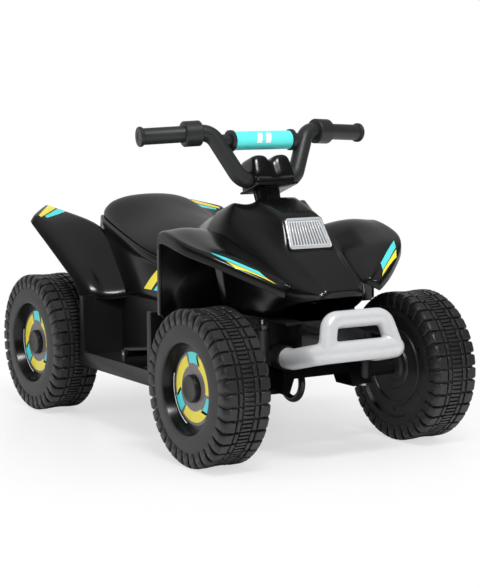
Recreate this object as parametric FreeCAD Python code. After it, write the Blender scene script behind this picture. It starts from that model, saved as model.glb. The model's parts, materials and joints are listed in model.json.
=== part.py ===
import FreeCAD, Part
from collections import namedtuple
import math
import os

# Kids quad bike, battery driven, in millimetres. The front faces -Y, the rider's left is +X, +Z is up.
# The origin is on the ground at the middle of the bounding box.
# Heights in this file are measured from the axle line, lengths from the front or the rear axle.

# Running gear layout
WHEELBASE = 460.0
TRACK = 320.0
TYRE_D = 200.0
TYRE_W = 68.0
BUMPER_REACH = 119.0      # front of the bumper ahead of the front axle

# Fits
RUN_FIT = 0.06            # radial clearance of a running fit
SEAT_FIT = 0.05           # radial clearance of a pressed or bolted seat
SKIN_GAP = 0.5            # gap between neighbouring body panels
PLAY = 0.3                # clearance between flat faces that pass each other
MESH_REACH = 1.0          # how far a cutting tool passes a face

# Wheels
WHEEL_WALL = 3.5
TREAD_WALL = 8.0
LUG_COUNT = 36
LUG_GAP = 5.5
LUG_DEPTH = 4.5
LUG_INNER_X = 16.0
SHOULDER_W = 6.0
SHOULDER_DROP = 9.0
DISH_R = 58.0
DISH_DEPTH = 14.0
DISH_TAPER = 3.0
INNER_FACE_R = 70.0
INNER_FACE_DEPTH = 6.0
HUB_R = 14.0
HUB_CAP_R = 17.5
HUB_CAP_H = 8.0
HUB_CAP_WALL = 2.5

# Axles and their nuts
AXLE_R = 6.0
AXLE_END = 5.0            # axle standing out of the hub face
NUT_FLATS = 16.0
NUT_H = 4.5
NUT_GAP = 0.4

# Front axle, kingpins and knuckles
KINGPIN_INSET = 80.0      # kingpin inboard of the wheel centre
KINGPIN_R = 4.0
KINGPIN_HEAD_R = 7.0
KINGPIN_HEAD_H = 3.5
KINGPIN_TAIL = 6.0
KINGPIN_NUT_FLATS = 13.0
KINGPIN_NUT_H = 7.0
BARREL_R = 11.0
BARREL_LOW = -10.5
BARREL_HIGH = 21.7
BOSS_HIGH = 66.0
BEAM_GAP = 20.0           # end of the beam's block to the kingpin
BEAM_HALF_D = 20.0
BEAM_LOW = -17.0
BEAM_HIGH = 40.0
ARCH_HIGH = 2.0           # underside of the beam between its ends
ARCH_SLOPE = 7.0          # run of the arch's sloping sides
STUB_BOSS_R = 10.0
STUB_SEAT = 25.0
ARM_LENGTH = 80.0
ARM_W = 14.0
ARM_LOW = -4.0
ARM_HIGH = 3.7
ARM_END_R = 9.0
PIN_R = 4.0
PIN_HEAD_R = 6.5
PIN_HEAD_H = 2.5

# Steering: raked column with a bent rod
STEER_RAKE = 19.3         # degrees, top leaning to the rear
STEER_RANGE = 28.0        # degrees each way
COLUMN_Y = 109.0          # column on the hood, behind the front axle
COLUMN_Z = 222.6
ROD_R = 4.75
ROD_TOP = 12.0
ROD_DROP = 244.0
CRANK = 47.0
CRANK_RISE = 39.0
BUSH_R = 9.5
BUSH_L = 14.0
LINK_T = 5.0
LINK_END = 12.0
LINK_HALF_D = 16.0
LINK_PLAY = 0.7

# Column neck, clamp and handlebar, in the column's own frame
NECK_LOW = -2.5
NECK_HIGH = 15.0
NECK_LOW_R = 17.0
NECK_HIGH_R = 18.0
CLAMP_HALF_W = 31.0
CLAMP_FRONT = -34.0
CLAMP_REAR = 17.0
CLAMP_LIP = 3.0
CAP_TOP = 55.0
CAP_INSET = 2.0
VALLEY_R = 9.0
BOLT_R = 3.0
BOLT_HEAD_R = 5.0
BOLT_HEAD_H = 3.0
BOLT_X = 20.0
BOLT_Y = 8.5
BOLT_LOW = 17.0
BAR_R = 11.25
BAR_Y = -9.5
BAR_LOW_Z = 25.0
BAR_LOW_X = 42.0
BAR_HIGH_X = 76.0
BAR_HIGH_Z = 93.0
BAR_BEND_R = 22.0
GRIP_END_X = 176.0
GRIP_END_Y = 7.0
GRIP_END_Z = 94.0
GRIP_CORE_R = 8.0
GRIP_R = 11.0
GRIP_FLANGE_R = 13.25
GRIP_FLANGE_L = 5.0
GRIP_CAP = 3.0
COLLAR_R = 17.0
COLLAR_L = 24.0
GRIP_L = 86.0
CROSSBAR_R = 9.0
CROSSBAR_Z = 80.7
PAD_R = 12.5
PAD_HALF_L = 45.0
PAD_RING_R = 14.5
PAD_RING_L = 6.0

# Bumper
BUMPER_R = 13.2
HOOP_R = 11.0
BUMPER_ARM_X = 64.0
BUMPER_ARM_Z = 33.0
BUMPER_BAR_X = 58.0
BUMPER_BAR_Z = 47.0
BUMPER_BEND_R = 18.0
HOOP_FOOT_X = 52.0
HOOP_TOP_X = 41.0
HOOP_TOP_Z = 86.0
HOOP_LEAN = 10.0
HOOP_BEND_R = 14.0
SOCKET_WALL = 2.5
SOCKET_L = 16.0
STAY_R = 7.0
STAY_Z = 68.0

# Lower chassis tub
SHELL_WALL = 3.0
TUB_FRONT = 138.0         # from the front axle
TUB_REAR = -110.0         # from the rear axle
TUB_HALF_W = 165.0
TUB_FLOOR = -7.0
TUB_TOP = 79.0
RAIL_LOW = -20.5
RAIL_HIGH = 0.0
RAIL_W = 4.0
POST_W = 11.0             # flange of the footwell's front and rear wall along its outer edge
TUNNEL_HALF_W = 98.0
TUNNEL_LOW = -14.0
TUNNEL_REAR = -90.0
REAR_BOX_HALF_W = 58.0
REAR_BOX_END = 32.0
REAR_BOX_LOW = -20.0
FRONT_BOX_HALF_W = BUMPER_ARM_X - BUMPER_R - SOCKET_WALL - PLAY   # between the bumper's sockets
FRONT_BOX_FRONT = -45.0
FLANGE_HALF_W = 72.0
SHELL_FOOT = TUB_TOP + PLAY   # foot of the hood and the upper body, on the tub

# Upper body stations behind the tub front: from the rear axle, half width at the bottom,
# half width and height of the seat lip
BODY_FRONT_LIP = (95.0, 155.0)
BODY_HALF_W = 100.0
BODY_STATIONS = (
    (-230.0, 100.0, 74.0, 129.0),
    (-180.0, 100.0, 92.0, 142.0),
    (-130.0, 100.0, 93.0, 156.0),
    (-80.0, 100.0, 92.0, 170.0),
    (-30.0, 93.0, 88.0, 184.0),
    (-15.0, 87.0, 80.0, 187.0),
    (34.0, 64.0, 58.0, 105.0),
)

# Saddle seat: crown above the lip at the same stations, and how far it stands in from the lip
SEAT_CROWN = (22.0, 28.0, 29.0, 28.0, 33.0, 28.0)
SEAT_INSET = 4.0

# Tank cover stations: share of the length from hood to seat, then side, shoulder and top points
TANK_STATIONS = (
    (0.0, (94.0, 168.0), (62.0, 204.0), (28.0, 211.0)),
    (0.2, (89.0, 164.0), (60.0, 202.0), (28.0, 210.0)),
    (0.8, (78.0, 148.0), (54.0, 187.0), (25.0, 194.0)),
    (1.0, (73.0, 140.0), (54.0, 162.0), (25.0, 166.0)),
)

# Hood stations: distance from the front axle, then half width and height of four points
HoodStation = namedtuple("HoodStation", "y foot fender_line crease top")
NOSE_STATION = HoodStation(-67.0, (29.0, 109.0), (33.0, 112.5), (29.0, 115.0), (25.0, 117.0))
BROW_STATION = HoodStation(-32.0, (59.0, 100.0), (63.0, 122.0), (38.0, 134.0), (30.0, 142.0))
LAMP_FOOT_STATION = HoodStation(6.5, (66.0, SHELL_FOOT), (69.0, 142.0), (44.0, 158.0), (35.0, 164.0))
LAMP_TOP_STATION = HoodStation(30.0, (68.0, SHELL_FOOT), (74.0, 154.0), (47.0, 176.0), (29.5, 206.0))
RIDGE_STATION = HoodStation(87.0, (70.0, SHELL_FOOT), (89.0, 176.0), (55.0, 209.0), (29.0, 227.0))
COLUMN_STATION = HoodStation(106.0, (70.0, SHELL_FOOT), (94.0, 180.0), (57.0, 222.0), (28.0, 216.0))
DASH_STATION = HoodStation(TUB_FRONT, (70.0, SHELL_FOOT), (95.0, 172.0), (62.0, 208.0), (27.0, 212.0))
HOOD_STATIONS = (NOSE_STATION, BROW_STATION, LAMP_FOOT_STATION, LAMP_TOP_STATION, RIDGE_STATION,
                 COLUMN_STATION, DASH_STATION)

# Front fender stations: place of the inner edge from the front axle, then the outer top edge
FENDER_OVERHANG = 12.0    # outer edge beyond the wheel centre
FENDER_T = 3.0
FRONT_LIP = 14.0
FRONT_FENDER = (
    (118.0, (0.0, 104.0, 188.0)),
    (106.0, (0.0, 88.0, 187.0)),
    (87.0, (0.0, 68.0, 183.5)),
    (60.0, (2.0, 40.0, 176.0)),
    (30.0, (22.0, 8.0, 165.0)),
    (6.5, (46.0, -11.0, 151.0)),
    (-15.0, (72.0, -32.0, 137.0)),
    (-31.0, (98.0, -44.0, 124.0)),
)
MUDGUARD_Y = 101.0
MUDGUARD_LOW = 76.0
MUDGUARD_CUT = 12.0

# Rear fender stations: inner edge (from the rear axle, height), then the lip's outer edge
REAR_LIP_W = 11.0         # width of the flared lip along the blade
REAR_LIP_DROP = 8.0       # fall of the lip below the blade
REAR_GAP = 0.8            # between the blade's inner edge and the body
REAR_LEAN = 53.0          # degrees from level of the direction the lip points down and back
REAR_FENDER = (
    ((None, -132.0, 82.5), (12.0, -100.0, 74.0)),
    ((None, -116.0, 103.0), (13.0, -90.0, 92.0)),
    ((None, -72.0, 143.0), (8.0, -62.0, 113.0)),
    ((None, -29.0, 172.0), (4.0, -8.0, 147.0)),
    ((64.0, 28.0, 186.0), (1.5, 16.0, 162.0)),
    ((46.0, 80.0, 197.0), (0.0, 38.0, 176.0)),
)

# Headlight on the hood's face
LAMP_TOP_HALF_W = 28.0
LAMP_LOW_HALF_W = 33.0
LAMP_H = 44.0
LAMP_FRAME = 4.0
LAMP_PROUD = 4.0
LAMP_DEPTH = 9.0
LENS_T = 3.0
LENS_RIB = 1.6
LENS_RIBS = 11

# Gear train on the left rear wheel
DRIVE_TEETH = 48
DRIVE_MODULE = 1.5
IDLER_TEETH = 12
IDLER_WHEEL_TEETH = 40
IDLER_MODULE = 1.0
PINION_TEETH = 10
DRIVE_ANGLE = 152.7       # degrees, from +Y towards +Z, axle to idler
PINION_ANGLE = 168.5      # degrees, idler to motor
TOOTH_ROOT = 0.26         # half tooth at the root, share of the pitch
TOOTH_TIP = 0.1
ADDENDUM = 0.85
DEDENDUM = 1.25
DRIVE_W = 10.0
IDLER_W = 14.0
IDLER_WHEEL_W = 10.0
IDLER_SPACER = 7.0        # between the two gears of the idler
CASE_FLOOR_GAP = 6.0      # case floor to the idler's large gear
CASE_SPLIT_GAP = 2.0      # idler's small gear to the split of the case
CASE_COVER_W = 18.0
DRIVE_HUB_R = 14.0
TRUNNION_R = 3.0
CASE_WALL = 3.0
IDLER_WHEEL_X = REAR_BOX_HALF_W + CASE_WALL + CASE_FLOOR_GAP
IDLER_X = IDLER_WHEEL_X + IDLER_WHEEL_W + IDLER_SPACER
DRIVE_X = IDLER_X + (IDLER_W - DRIVE_W) / 2
CASE_SPLIT_X = IDLER_X + IDLER_W + CASE_SPLIT_GAP
CASE_END_X = CASE_SPLIT_X + CASE_COVER_W
CASE_ROOM = 2.5
MOTOR_R = 18.0
MOTOR_L = 60.0
SHAFT_R = 2.0
SHAFT_SEAT = 12.0

# Battery, strap, charge socket
BATTERY = (100.0, 70.0, 47.0)
BATTERY_Y = -190.0        # front face from the rear axle
STRAP_W = 20.0
STRAP_T = 2.0
STRAP_FOOT = 16.0
SOCKET_R = 2.8
SOCKET_DEPTH = 10.0
SOCKET_BODY_R = 6.5
SOCKET_FLANGE_R = 9.0
SOCKET_FLANGE_T = 2.0
SOCKET_X = 0.0
SOCKET_Z = 50.0

# Accelerator pedal in the right footwell
PEDAL_X = -131.0
PEDAL_W = 38.0
PEDAL_L = 84.0
PEDAL_T = 4.0
PEDAL_Y = 240.0           # hinge from the front axle
PEDAL_Z = 16.0            # hinge above the floor
PEDAL_REAR_Z = 24.0
PEDAL_FRONT_Z = 36.0
PEDAL_PIN_R = 2.0
PEDAL_KNUCKLE_R = 5.0
EAR_T = 3.0
LEAF_T = 0.8
LEAF_W = 12.0
LEAF_FOOT = 14.0
LEAF_RUN = 40.0

# Direction switch on the tank cover
SWITCH_SHARE = 0.5        # place along the tank's sloping top
SWITCH_W = 16.0
SWITCH_L = 24.0
SWITCH_RIM = 2.0
SWITCH_BODY_H = 14.0
ROCKER_W = 11.0
ROCKER_L = 18.0
ROCKER_H = 4.0
ROCKER_DROP = 3.0
ROCKER_PIN_R = 1.5

TYRE_R = TYRE_D / 2
FRONT_Y = (BUMPER_REACH - WHEELBASE - TYRE_R) / 2
REAR_Y = FRONT_Y + WHEELBASE
AXLE_Z = TYRE_R
WHEEL_X = TRACK / 2
KINGPIN_X = WHEEL_X - KINGPIN_INSET
FENDER_X = WHEEL_X + FENDER_OVERHANG
TUB_FRONT_Y = FRONT_Y + TUB_FRONT
TUB_REAR_Y = REAR_Y + TUB_REAR
X_AXIS = FreeCAD.Vector(1, 0, 0)
Y_AXIS = FreeCAD.Vector(0, 1, 0)
Z_AXIS = FreeCAD.Vector(0, 0, 1)


def front(x, y, z):
    """A point measured from the front axle line."""
    return FreeCAD.Vector(x, FRONT_Y + y, AXLE_Z + z)


def rear(x, y, z):
    """A point measured from the rear axle line."""
    return FreeCAD.Vector(x, REAR_Y + y, AXLE_Z + z)


def block(low, high):
    size = high - low
    return Part.makeBox(size.x, size.y, size.z, low)


def rod(start, end, radius):
    along = end - start
    return Part.makeCylinder(radius, along.Length, start, along)


def ring(start, end, radius, bore):
    reach = (end - start).normalize() * MESH_REACH
    return rod(start, end, radius).cut(rod(start - reach, end + reach, bore))


def wire(points):
    return Part.makePolygon(list(points) + [points[0]])


def ruled(sections):
    """A solid through planar polygons with straight sides from one to the next."""
    solid = Part.makeLoft([wire(points) for points in sections], True, True)
    if solid.Volume < 0:
        solid.reverse()
    return solid


def prism(points, along):
    return Part.Face(wire(points)).extrude(along)


def fuse(shapes):
    whole = shapes[0].multiFuse(shapes[1:]) if len(shapes) > 1 else shapes[0]
    return whole.removeSplitter()


def mirror(shape):
    return shape.mirror(FreeCAD.Vector(0, 0, 0), X_AXIS)


def mirror_points(half):
    """A closed outline from its right half, listed from the foot upwards."""
    return list(half) + [(-x, z) for x, z in reversed(half)]


def inset(outline, walls):
    """An outline moved inwards by one wall for each edge; a negative wall moves the edge out."""
    count = len(outline)
    area = sum(outline[i][0] * outline[(i + 1) % count][1] - outline[(i + 1) % count][0] * outline[i][1]
               for i in range(count))
    side = 1.0 if area > 0 else -1.0
    lines = []
    for i in range(count):
        (x0, z0), (x1, z1) = outline[i], outline[(i + 1) % count]
        length = math.hypot(x1 - x0, z1 - z0)
        nx = -(z1 - z0) / length * side
        nz = (x1 - x0) / length * side
        lines.append((nx, nz, nx * x0 + nz * z0 + walls[i]))
    moved = []
    for i in range(count):
        a, b = lines[i - 1], lines[i]
        cross = a[0] * b[1] - b[0] * a[1]
        moved.append(((a[2] * b[1] - b[2] * a[1]) / cross, (a[0] * b[2] - b[0] * a[2]) / cross))
    return moved


def shell(stations, open_front, open_rear):
    """A thin body open at its foot, from stations of (y, half outline)."""
    outer = []
    inner = []
    last = len(stations) - 1
    for index, (y, half) in enumerate(stations):
        outline = mirror_points(half)
        walls = [SHELL_WALL] * (len(outline) - 1) + [-MESH_REACH]
        core = inset(outline, walls)
        outer.append([FreeCAD.Vector(x, y, AXLE_Z + z) for x, z in outline])
        shift = 0.0
        if index == 0:
            shift = -MESH_REACH if open_front else SHELL_WALL
        if index == last:
            shift = MESH_REACH if open_rear else -SHELL_WALL
        inner.append([FreeCAD.Vector(x, y + shift, AXLE_Z + z) for x, z in core])
    return ruled(outer).cut(ruled(inner))


def bent_tube(points, bends, radius):
    """A round bar along straight runs with a tangent arc at each inner point."""
    edges = []
    start = points[0]
    for corner, after, bend in zip(points[1:-1], points[2:], bends):
        into = (corner - start).normalize()
        out = (after - corner).normalize()
        turn = into.getAngle(out)
        reach = bend * math.tan(turn / 2)
        first = corner - into * reach
        second = corner + out * reach
        inward = (out - into).normalize()
        middle = corner + inward * (bend / math.cos(turn / 2) - bend)
        edges.append(Part.LineSegment(start, first).toShape())
        edges.append(Part.Arc(first, middle, second).toShape())
        start = second
    edges.append(Part.LineSegment(start, points[-1]).toShape())
    path = Part.Wire(edges)
    profile = Part.Wire([Part.makeCircle(radius, points[0], points[1] - points[0])])
    return path.makePipeShell([profile], True, False)


HEX_SIDES = 6


def hexagon(start, along, flats):
    """Corners of a hexagon nut, square to an axis."""
    turn = 2 * math.pi / HEX_SIDES
    across = flats / 2 / math.cos(turn / 2)
    side = Y_AXIS if along == X_AXIS else X_AXIS
    other = along.cross(side).normalize()
    corners = []
    for index in range(HEX_SIDES):
        angle = turn * index
        corners.append(start + side * (across * math.cos(angle)) + other * (across * math.sin(angle)))
    return corners


def nut(start, along, height, flats, bore):
    blank = prism(hexagon(start, along, flats), along * height)
    return blank.cut(rod(start - along * MESH_REACH, start + along * (height + MESH_REACH), bore))


def column(shape):
    """Moves a shape from the column's own frame, where Z runs up the column, onto the quad."""
    moved = shape.copy()
    turn = FreeCAD.Rotation(X_AXIS, -STEER_RAKE)
    moved.Placement = FreeCAD.Placement(front(0, COLUMN_Y, COLUMN_Z), turn).multiply(moved.Placement)
    return moved


def save(name, solids):
    shape = solids[0] if len(solids) == 1 else Part.makeCompound(solids)
    shape.exportStep("parts/%s.step" % name)


# Wheels: two moulded halves that meet on the middle plane, and a hub cap

def wheel_turn(profile):
    face = Part.Face(wire([FreeCAD.Vector(x, 0, r) for x, r in profile]))
    return face.revolve(FreeCAD.Vector(0, 0, 0), X_AXIS, 360)


def lug_gaps(x_low, x_high):
    gaps = []
    for index in range(LUG_COUNT):
        gap = Part.makeBox(x_high - x_low, LUG_GAP, LUG_DEPTH + MESH_REACH,
                           FreeCAD.Vector(x_low, -LUG_GAP / 2, TYRE_R - LUG_DEPTH))
        gap.rotate(FreeCAD.Vector(0, 0, 0), X_AXIS, 360.0 * index / LUG_COUNT)
        gaps.append(gap)
    return gaps


def wheel_outer_half():
    """The half with the dish, towards +X."""
    half = TYRE_W / 2
    face = half - DISH_DEPTH
    bore = AXLE_R + RUN_FIT
    tread = TYRE_R - TREAD_WALL
    profile = [
        (0, TYRE_R), (half - SHOULDER_W, TYRE_R), (half, TYRE_R - SHOULDER_DROP),
        (half, DISH_R), (face, DISH_R - DISH_TAPER), (face, bore), (0, bore), (0, HUB_R),
        (face - WHEEL_WALL, HUB_R), (face - WHEEL_WALL, DISH_R - DISH_TAPER - WHEEL_WALL),
        (half - WHEEL_WALL, DISH_R + WHEEL_WALL), (half - WHEEL_WALL, tread - WHEEL_WALL),
        (half - SHOULDER_W - WHEEL_WALL, tread), (0, tread),
    ]
    return wheel_turn(profile).cut(lug_gaps(LUG_INNER_X, half + MESH_REACH))


def wheel_inner_half():
    """The half with the shallow face, towards -X."""
    half = -TYRE_W / 2
    face = half + INNER_FACE_DEPTH
    bore = AXLE_R + RUN_FIT
    tread = TYRE_R - TREAD_WALL
    profile = [
        (0, TYRE_R), (half + SHOULDER_W, TYRE_R), (half, TYRE_R - SHOULDER_DROP),
        (half, INNER_FACE_R), (face, INNER_FACE_R - INNER_FACE_DEPTH), (face, HUB_R), (half, HUB_R),
        (half, bore), (0, bore), (0, HUB_R), (face + WHEEL_WALL, HUB_R),
        (face + WHEEL_WALL, INNER_FACE_R - INNER_FACE_DEPTH),
        (half + WHEEL_WALL, INNER_FACE_R + WHEEL_WALL), (half + WHEEL_WALL, tread - WHEEL_WALL),
        (half + SHOULDER_W + WHEEL_WALL, tread), (0, tread),
    ]
    return wheel_turn(profile).cut(lug_gaps(half - MESH_REACH, -LUG_INNER_X))


def hub_cap():
    face = TYRE_W / 2 - DISH_DEPTH
    room = HUB_CAP_R - HUB_CAP_WALL
    top = face + HUB_CAP_H
    profile = [(face, HUB_CAP_R), (top - HUB_CAP_WALL, HUB_CAP_R), (top, room), (top, 0),
               (top - HUB_CAP_WALL, 0), (top - HUB_CAP_WALL, room), (face, room)]
    return wheel_turn(profile)


def wheels():
    outer = wheel_outer_half()
    inner = wheel_inner_half()
    cap = hub_cap()
    for end, axle in (("front", front), ("rear", rear)):
        for side, sign in (("left", 1), ("right", -1)):
            for name, piece in (("outer", outer), ("inner", inner), ("hub_cap", cap)):
                solid = piece.copy() if sign > 0 else mirror(piece)
                solid.translate(axle(sign * WHEEL_X, 0, 0))
                label = name if name == "hub_cap" else "wheel_" + name
                save("%s_%s_%s" % (end, side, label), [solid])


# Front axle, knuckles and steering link

def axle_beam():
    block_end = KINGPIN_X - BEAM_GAP
    solids = [block(front(-block_end, -BEAM_HALF_D, BEAM_LOW), front(block_end, BEAM_HALF_D, BEAM_HIGH))]
    holes = []
    boss_low = BARREL_HIGH + PLAY
    lug_high = BARREL_LOW - PLAY
    lug_root = block_end - BEAM_GAP / 2
    for sign in (1, -1):
        x_root = sign * lug_root
        x_pin = sign * KINGPIN_X
        low_x, high_x = min(x_root, x_pin), max(x_root, x_pin)
        solids.append(block(front(low_x, -BEAM_HALF_D, boss_low), front(high_x, BARREL_R, BEAM_HIGH)))
        solids.append(block(front(low_x, -BARREL_R, BEAM_LOW), front(high_x, BARREL_R, lug_high)))
        solids.append(rod(front(x_pin, 0, boss_low), front(x_pin, 0, BOSS_HIGH), BARREL_R))
        solids.append(rod(front(x_pin, 0, BEAM_LOW), front(x_pin, 0, lug_high), BARREL_R))
        x_arm = sign * BUMPER_ARM_X
        socket_rear = -BEAM_HALF_D + SOCKET_WALL
        socket_front = -BEAM_HALF_D - SOCKET_L
        solids.append(rod(front(x_arm, socket_rear, BUMPER_ARM_Z), front(x_arm, socket_front, BUMPER_ARM_Z),
                          BUMPER_R + SOCKET_WALL))
        holes.append(rod(front(x_arm, -BEAM_HALF_D, BUMPER_ARM_Z),
                         front(x_arm, socket_front - MESH_REACH, BUMPER_ARM_Z), BUMPER_R + SEAT_FIT))
        holes.append(rod(front(x_pin, 0, BEAM_LOW - MESH_REACH), front(x_pin, 0, BOSS_HIGH + MESH_REACH),
                         KINGPIN_R + SEAT_FIT))
    y_arch = -BEAM_HALF_D - MESH_REACH
    half = lug_root - ARCH_SLOPE
    arch = [front(-lug_root, y_arch, BEAM_LOW), front(-half, y_arch, ARCH_HIGH),
            front(half, y_arch, ARCH_HIGH), front(lug_root, y_arch, BEAM_LOW)]
    holes.append(prism(arch, Y_AXIS * (2 * (BEAM_HALF_D + MESH_REACH))))
    return fuse(solids).cut(holes)


def kingpin_bolt(sign):
    x = sign * KINGPIN_X
    shank = rod(front(x, 0, BEAM_LOW), front(x, 0, BOSS_HIGH + KINGPIN_NUT_H + KINGPIN_TAIL), KINGPIN_R)
    head = rod(front(x, 0, BEAM_LOW - KINGPIN_HEAD_H), front(x, 0, BEAM_LOW), KINGPIN_HEAD_R)
    return fuse([shank, head])


def kingpin_nut(sign):
    return nut(front(sign * KINGPIN_X, 0, BOSS_HIGH), Z_AXIS, KINGPIN_NUT_H, KINGPIN_NUT_FLATS,
               KINGPIN_R + SEAT_FIT)


def knuckle():
    """The left knuckle with its stub boss and steering arm."""
    stub_end = WHEEL_X - TYRE_W / 2 - PLAY
    link_top = ARM_HIGH + PLAY + LINK_T
    head_low = link_top + NUT_GAP
    solids = [
        rod(front(KINGPIN_X, 0, BARREL_LOW), front(KINGPIN_X, 0, BARREL_HIGH), BARREL_R),
        rod(front(KINGPIN_X, 0, 0), front(stub_end, 0, 0), STUB_BOSS_R),
        block(front(KINGPIN_X - ARM_W / 2, 0, ARM_LOW), front(KINGPIN_X + ARM_W / 2, ARM_LENGTH, ARM_HIGH)),
        rod(front(KINGPIN_X, ARM_LENGTH, ARM_LOW), front(KINGPIN_X, ARM_LENGTH, ARM_HIGH), ARM_END_R),
        rod(front(KINGPIN_X, ARM_LENGTH, ARM_HIGH), front(KINGPIN_X, ARM_LENGTH, head_low), PIN_R),
        rod(front(KINGPIN_X, ARM_LENGTH, head_low), front(KINGPIN_X, ARM_LENGTH, head_low + PIN_HEAD_H),
            PIN_HEAD_R),
    ]
    holes = [
        rod(front(KINGPIN_X, 0, BARREL_LOW - MESH_REACH), front(KINGPIN_X, 0, BARREL_HIGH + MESH_REACH),
            KINGPIN_R + RUN_FIT),
        rod(front(stub_end - STUB_SEAT, 0, 0), front(stub_end + MESH_REACH, 0, 0), AXLE_R + SEAT_FIT),
    ]
    return fuse(solids).cut(holes)


def stub_axle():
    stub_end = WHEEL_X - TYRE_W / 2 - PLAY
    tip = WHEEL_X + TYRE_W / 2 - DISH_DEPTH + AXLE_END
    return rod(front(stub_end - STUB_SEAT, 0, 0), front(tip, 0, 0), AXLE_R)


def axle_nut(place):
    """Nut on the left end of an axle, inside the hub cap."""
    face = WHEEL_X + TYRE_W / 2 - DISH_DEPTH + NUT_GAP
    return nut(place(face, 0, 0), X_AXIS, NUT_H, NUT_FLATS, AXLE_R + SEAT_FIT)


def link_slot(x, y_low, y_high, half_width):
    low = front(x - half_width, y_low, ARM_HIGH)
    high = front(x + half_width, y_high, ARM_HIGH + 2 * LINK_T)
    return block(low, high)


def steering_link():
    low = ARM_HIGH + PLAY
    half = KINGPIN_X + LINK_END
    crank_y = crank_pin_y(low + LINK_T / 2)
    plate = block(front(-half, min(ARM_LENGTH, crank_y) - LINK_HALF_D, low),
                  front(half, max(ARM_LENGTH, crank_y) + LINK_HALF_D, low + LINK_T))
    swing = math.radians(STEER_RANGE)
    wheel_swing = math.asin(CRANK * math.sin(swing) / ARM_LENGTH)
    pin_shift = ARM_LENGTH * (1 - math.cos(wheel_swing))
    slots = []
    for sign in (1, -1):
        slots.append(link_slot(sign * KINGPIN_X, ARM_LENGTH - pin_shift - PIN_R - LINK_PLAY,
                               ARM_LENGTH + PIN_R + LINK_PLAY, PIN_R + LINK_PLAY))
    rake = math.radians(STEER_RAKE)
    reach = ROD_R / math.cos(rake) + LINK_T / 2 * math.tan(rake) + LINK_PLAY
    back = CRANK * (1 - math.cos(swing)) / math.cos(rake)
    slots.append(link_slot(0, crank_y - back - reach, crank_y + reach, ROD_R + 2 * LINK_PLAY))
    return plate.cut(slots)


def crank_pin_y(z):
    """Place of the rod's crank leg, from the front axle, at a height above the axle line."""
    rake = math.radians(STEER_RAKE)
    up = (z - COLUMN_Z + CRANK * math.sin(rake)) / math.cos(rake)
    return COLUMN_Y + CRANK * math.cos(rake) + up * math.sin(rake)


def steering_rod():
    """Down the column, round a half circle and up into the link."""
    down = FreeCAD.Vector(0, 0, -ROD_DROP)
    across = FreeCAD.Vector(0, CRANK, -ROD_DROP)
    bottom = FreeCAD.Vector(0, CRANK / 2, -ROD_DROP - CRANK / 2)
    tip = FreeCAD.Vector(0, CRANK, -ROD_DROP + CRANK_RISE)
    arc = Part.Arc(down, bottom, across).toShape()
    profile = Part.Wire([Part.makeCircle(ROD_R, down, Z_AXIS)])
    bend = Part.Wire([arc]).makePipeShell([profile], True, False)
    whole = fuse([rod(FreeCAD.Vector(0, 0, ROD_TOP), down, ROD_R), bend, rod(across, tip, ROD_R)])
    return column(whole)


def bush_height(z):
    """Distance along the column of a height above the axle line."""
    return (z - COLUMN_Z) / math.cos(math.radians(STEER_RAKE))


def steering_bush(z):
    along = bush_height(z)
    low = FreeCAD.Vector(0, 0, along - BUSH_L / 2)
    high = FreeCAD.Vector(0, 0, along + BUSH_L / 2)
    return column(ring(low, high, BUSH_R, ROD_R + RUN_FIT))


def bush_hole(z):
    along = bush_height(z)
    low = FreeCAD.Vector(0, 0, along - BUSH_L)
    high = FreeCAD.Vector(0, 0, along + BUSH_L)
    return column(rod(low, high, BUSH_R + SEAT_FIT))


# Column head: neck and clamp base, cap, bolts, handlebar, grips and crossbar pad

def bar_core():
    return rod(FreeCAD.Vector(-CLAMP_HALF_W - CLAMP_LIP, BAR_Y, BAR_LOW_Z),
               FreeCAD.Vector(CLAMP_HALF_W + CLAMP_LIP, BAR_Y, BAR_LOW_Z), BAR_R + SEAT_FIT)


def bolt_holes():
    holes = []
    for sign in (1, -1):
        low = FreeCAD.Vector(sign * BOLT_X, BOLT_Y, BOLT_LOW - MESH_REACH)
        holes.append(rod(low, FreeCAD.Vector(sign * BOLT_X, BOLT_Y, CAP_TOP), BOLT_R + SEAT_FIT))
    return holes


def clamp_base():
    neck = Part.makeCone(NECK_LOW_R, NECK_HIGH_R, NECK_HIGH - NECK_LOW, FreeCAD.Vector(0, 0, NECK_LOW))
    seat = block(FreeCAD.Vector(-CLAMP_HALF_W, CLAMP_FRONT, NECK_HIGH),
                 FreeCAD.Vector(CLAMP_HALF_W, CLAMP_REAR, BAR_LOW_Z))
    lip = block(FreeCAD.Vector(-CLAMP_HALF_W - CLAMP_LIP, CLAMP_FRONT - CLAMP_LIP, NECK_HIGH - CLAMP_LIP),
                FreeCAD.Vector(CLAMP_HALF_W + CLAMP_LIP, CLAMP_REAR + CLAMP_LIP, NECK_HIGH))
    bore = rod(FreeCAD.Vector(0, 0, NECK_LOW - MESH_REACH), FreeCAD.Vector(0, 0, ROD_TOP), ROD_R + SEAT_FIT)
    return column(fuse([neck, lip, seat]).cut([bar_core(), bore] + bolt_holes()))


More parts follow.
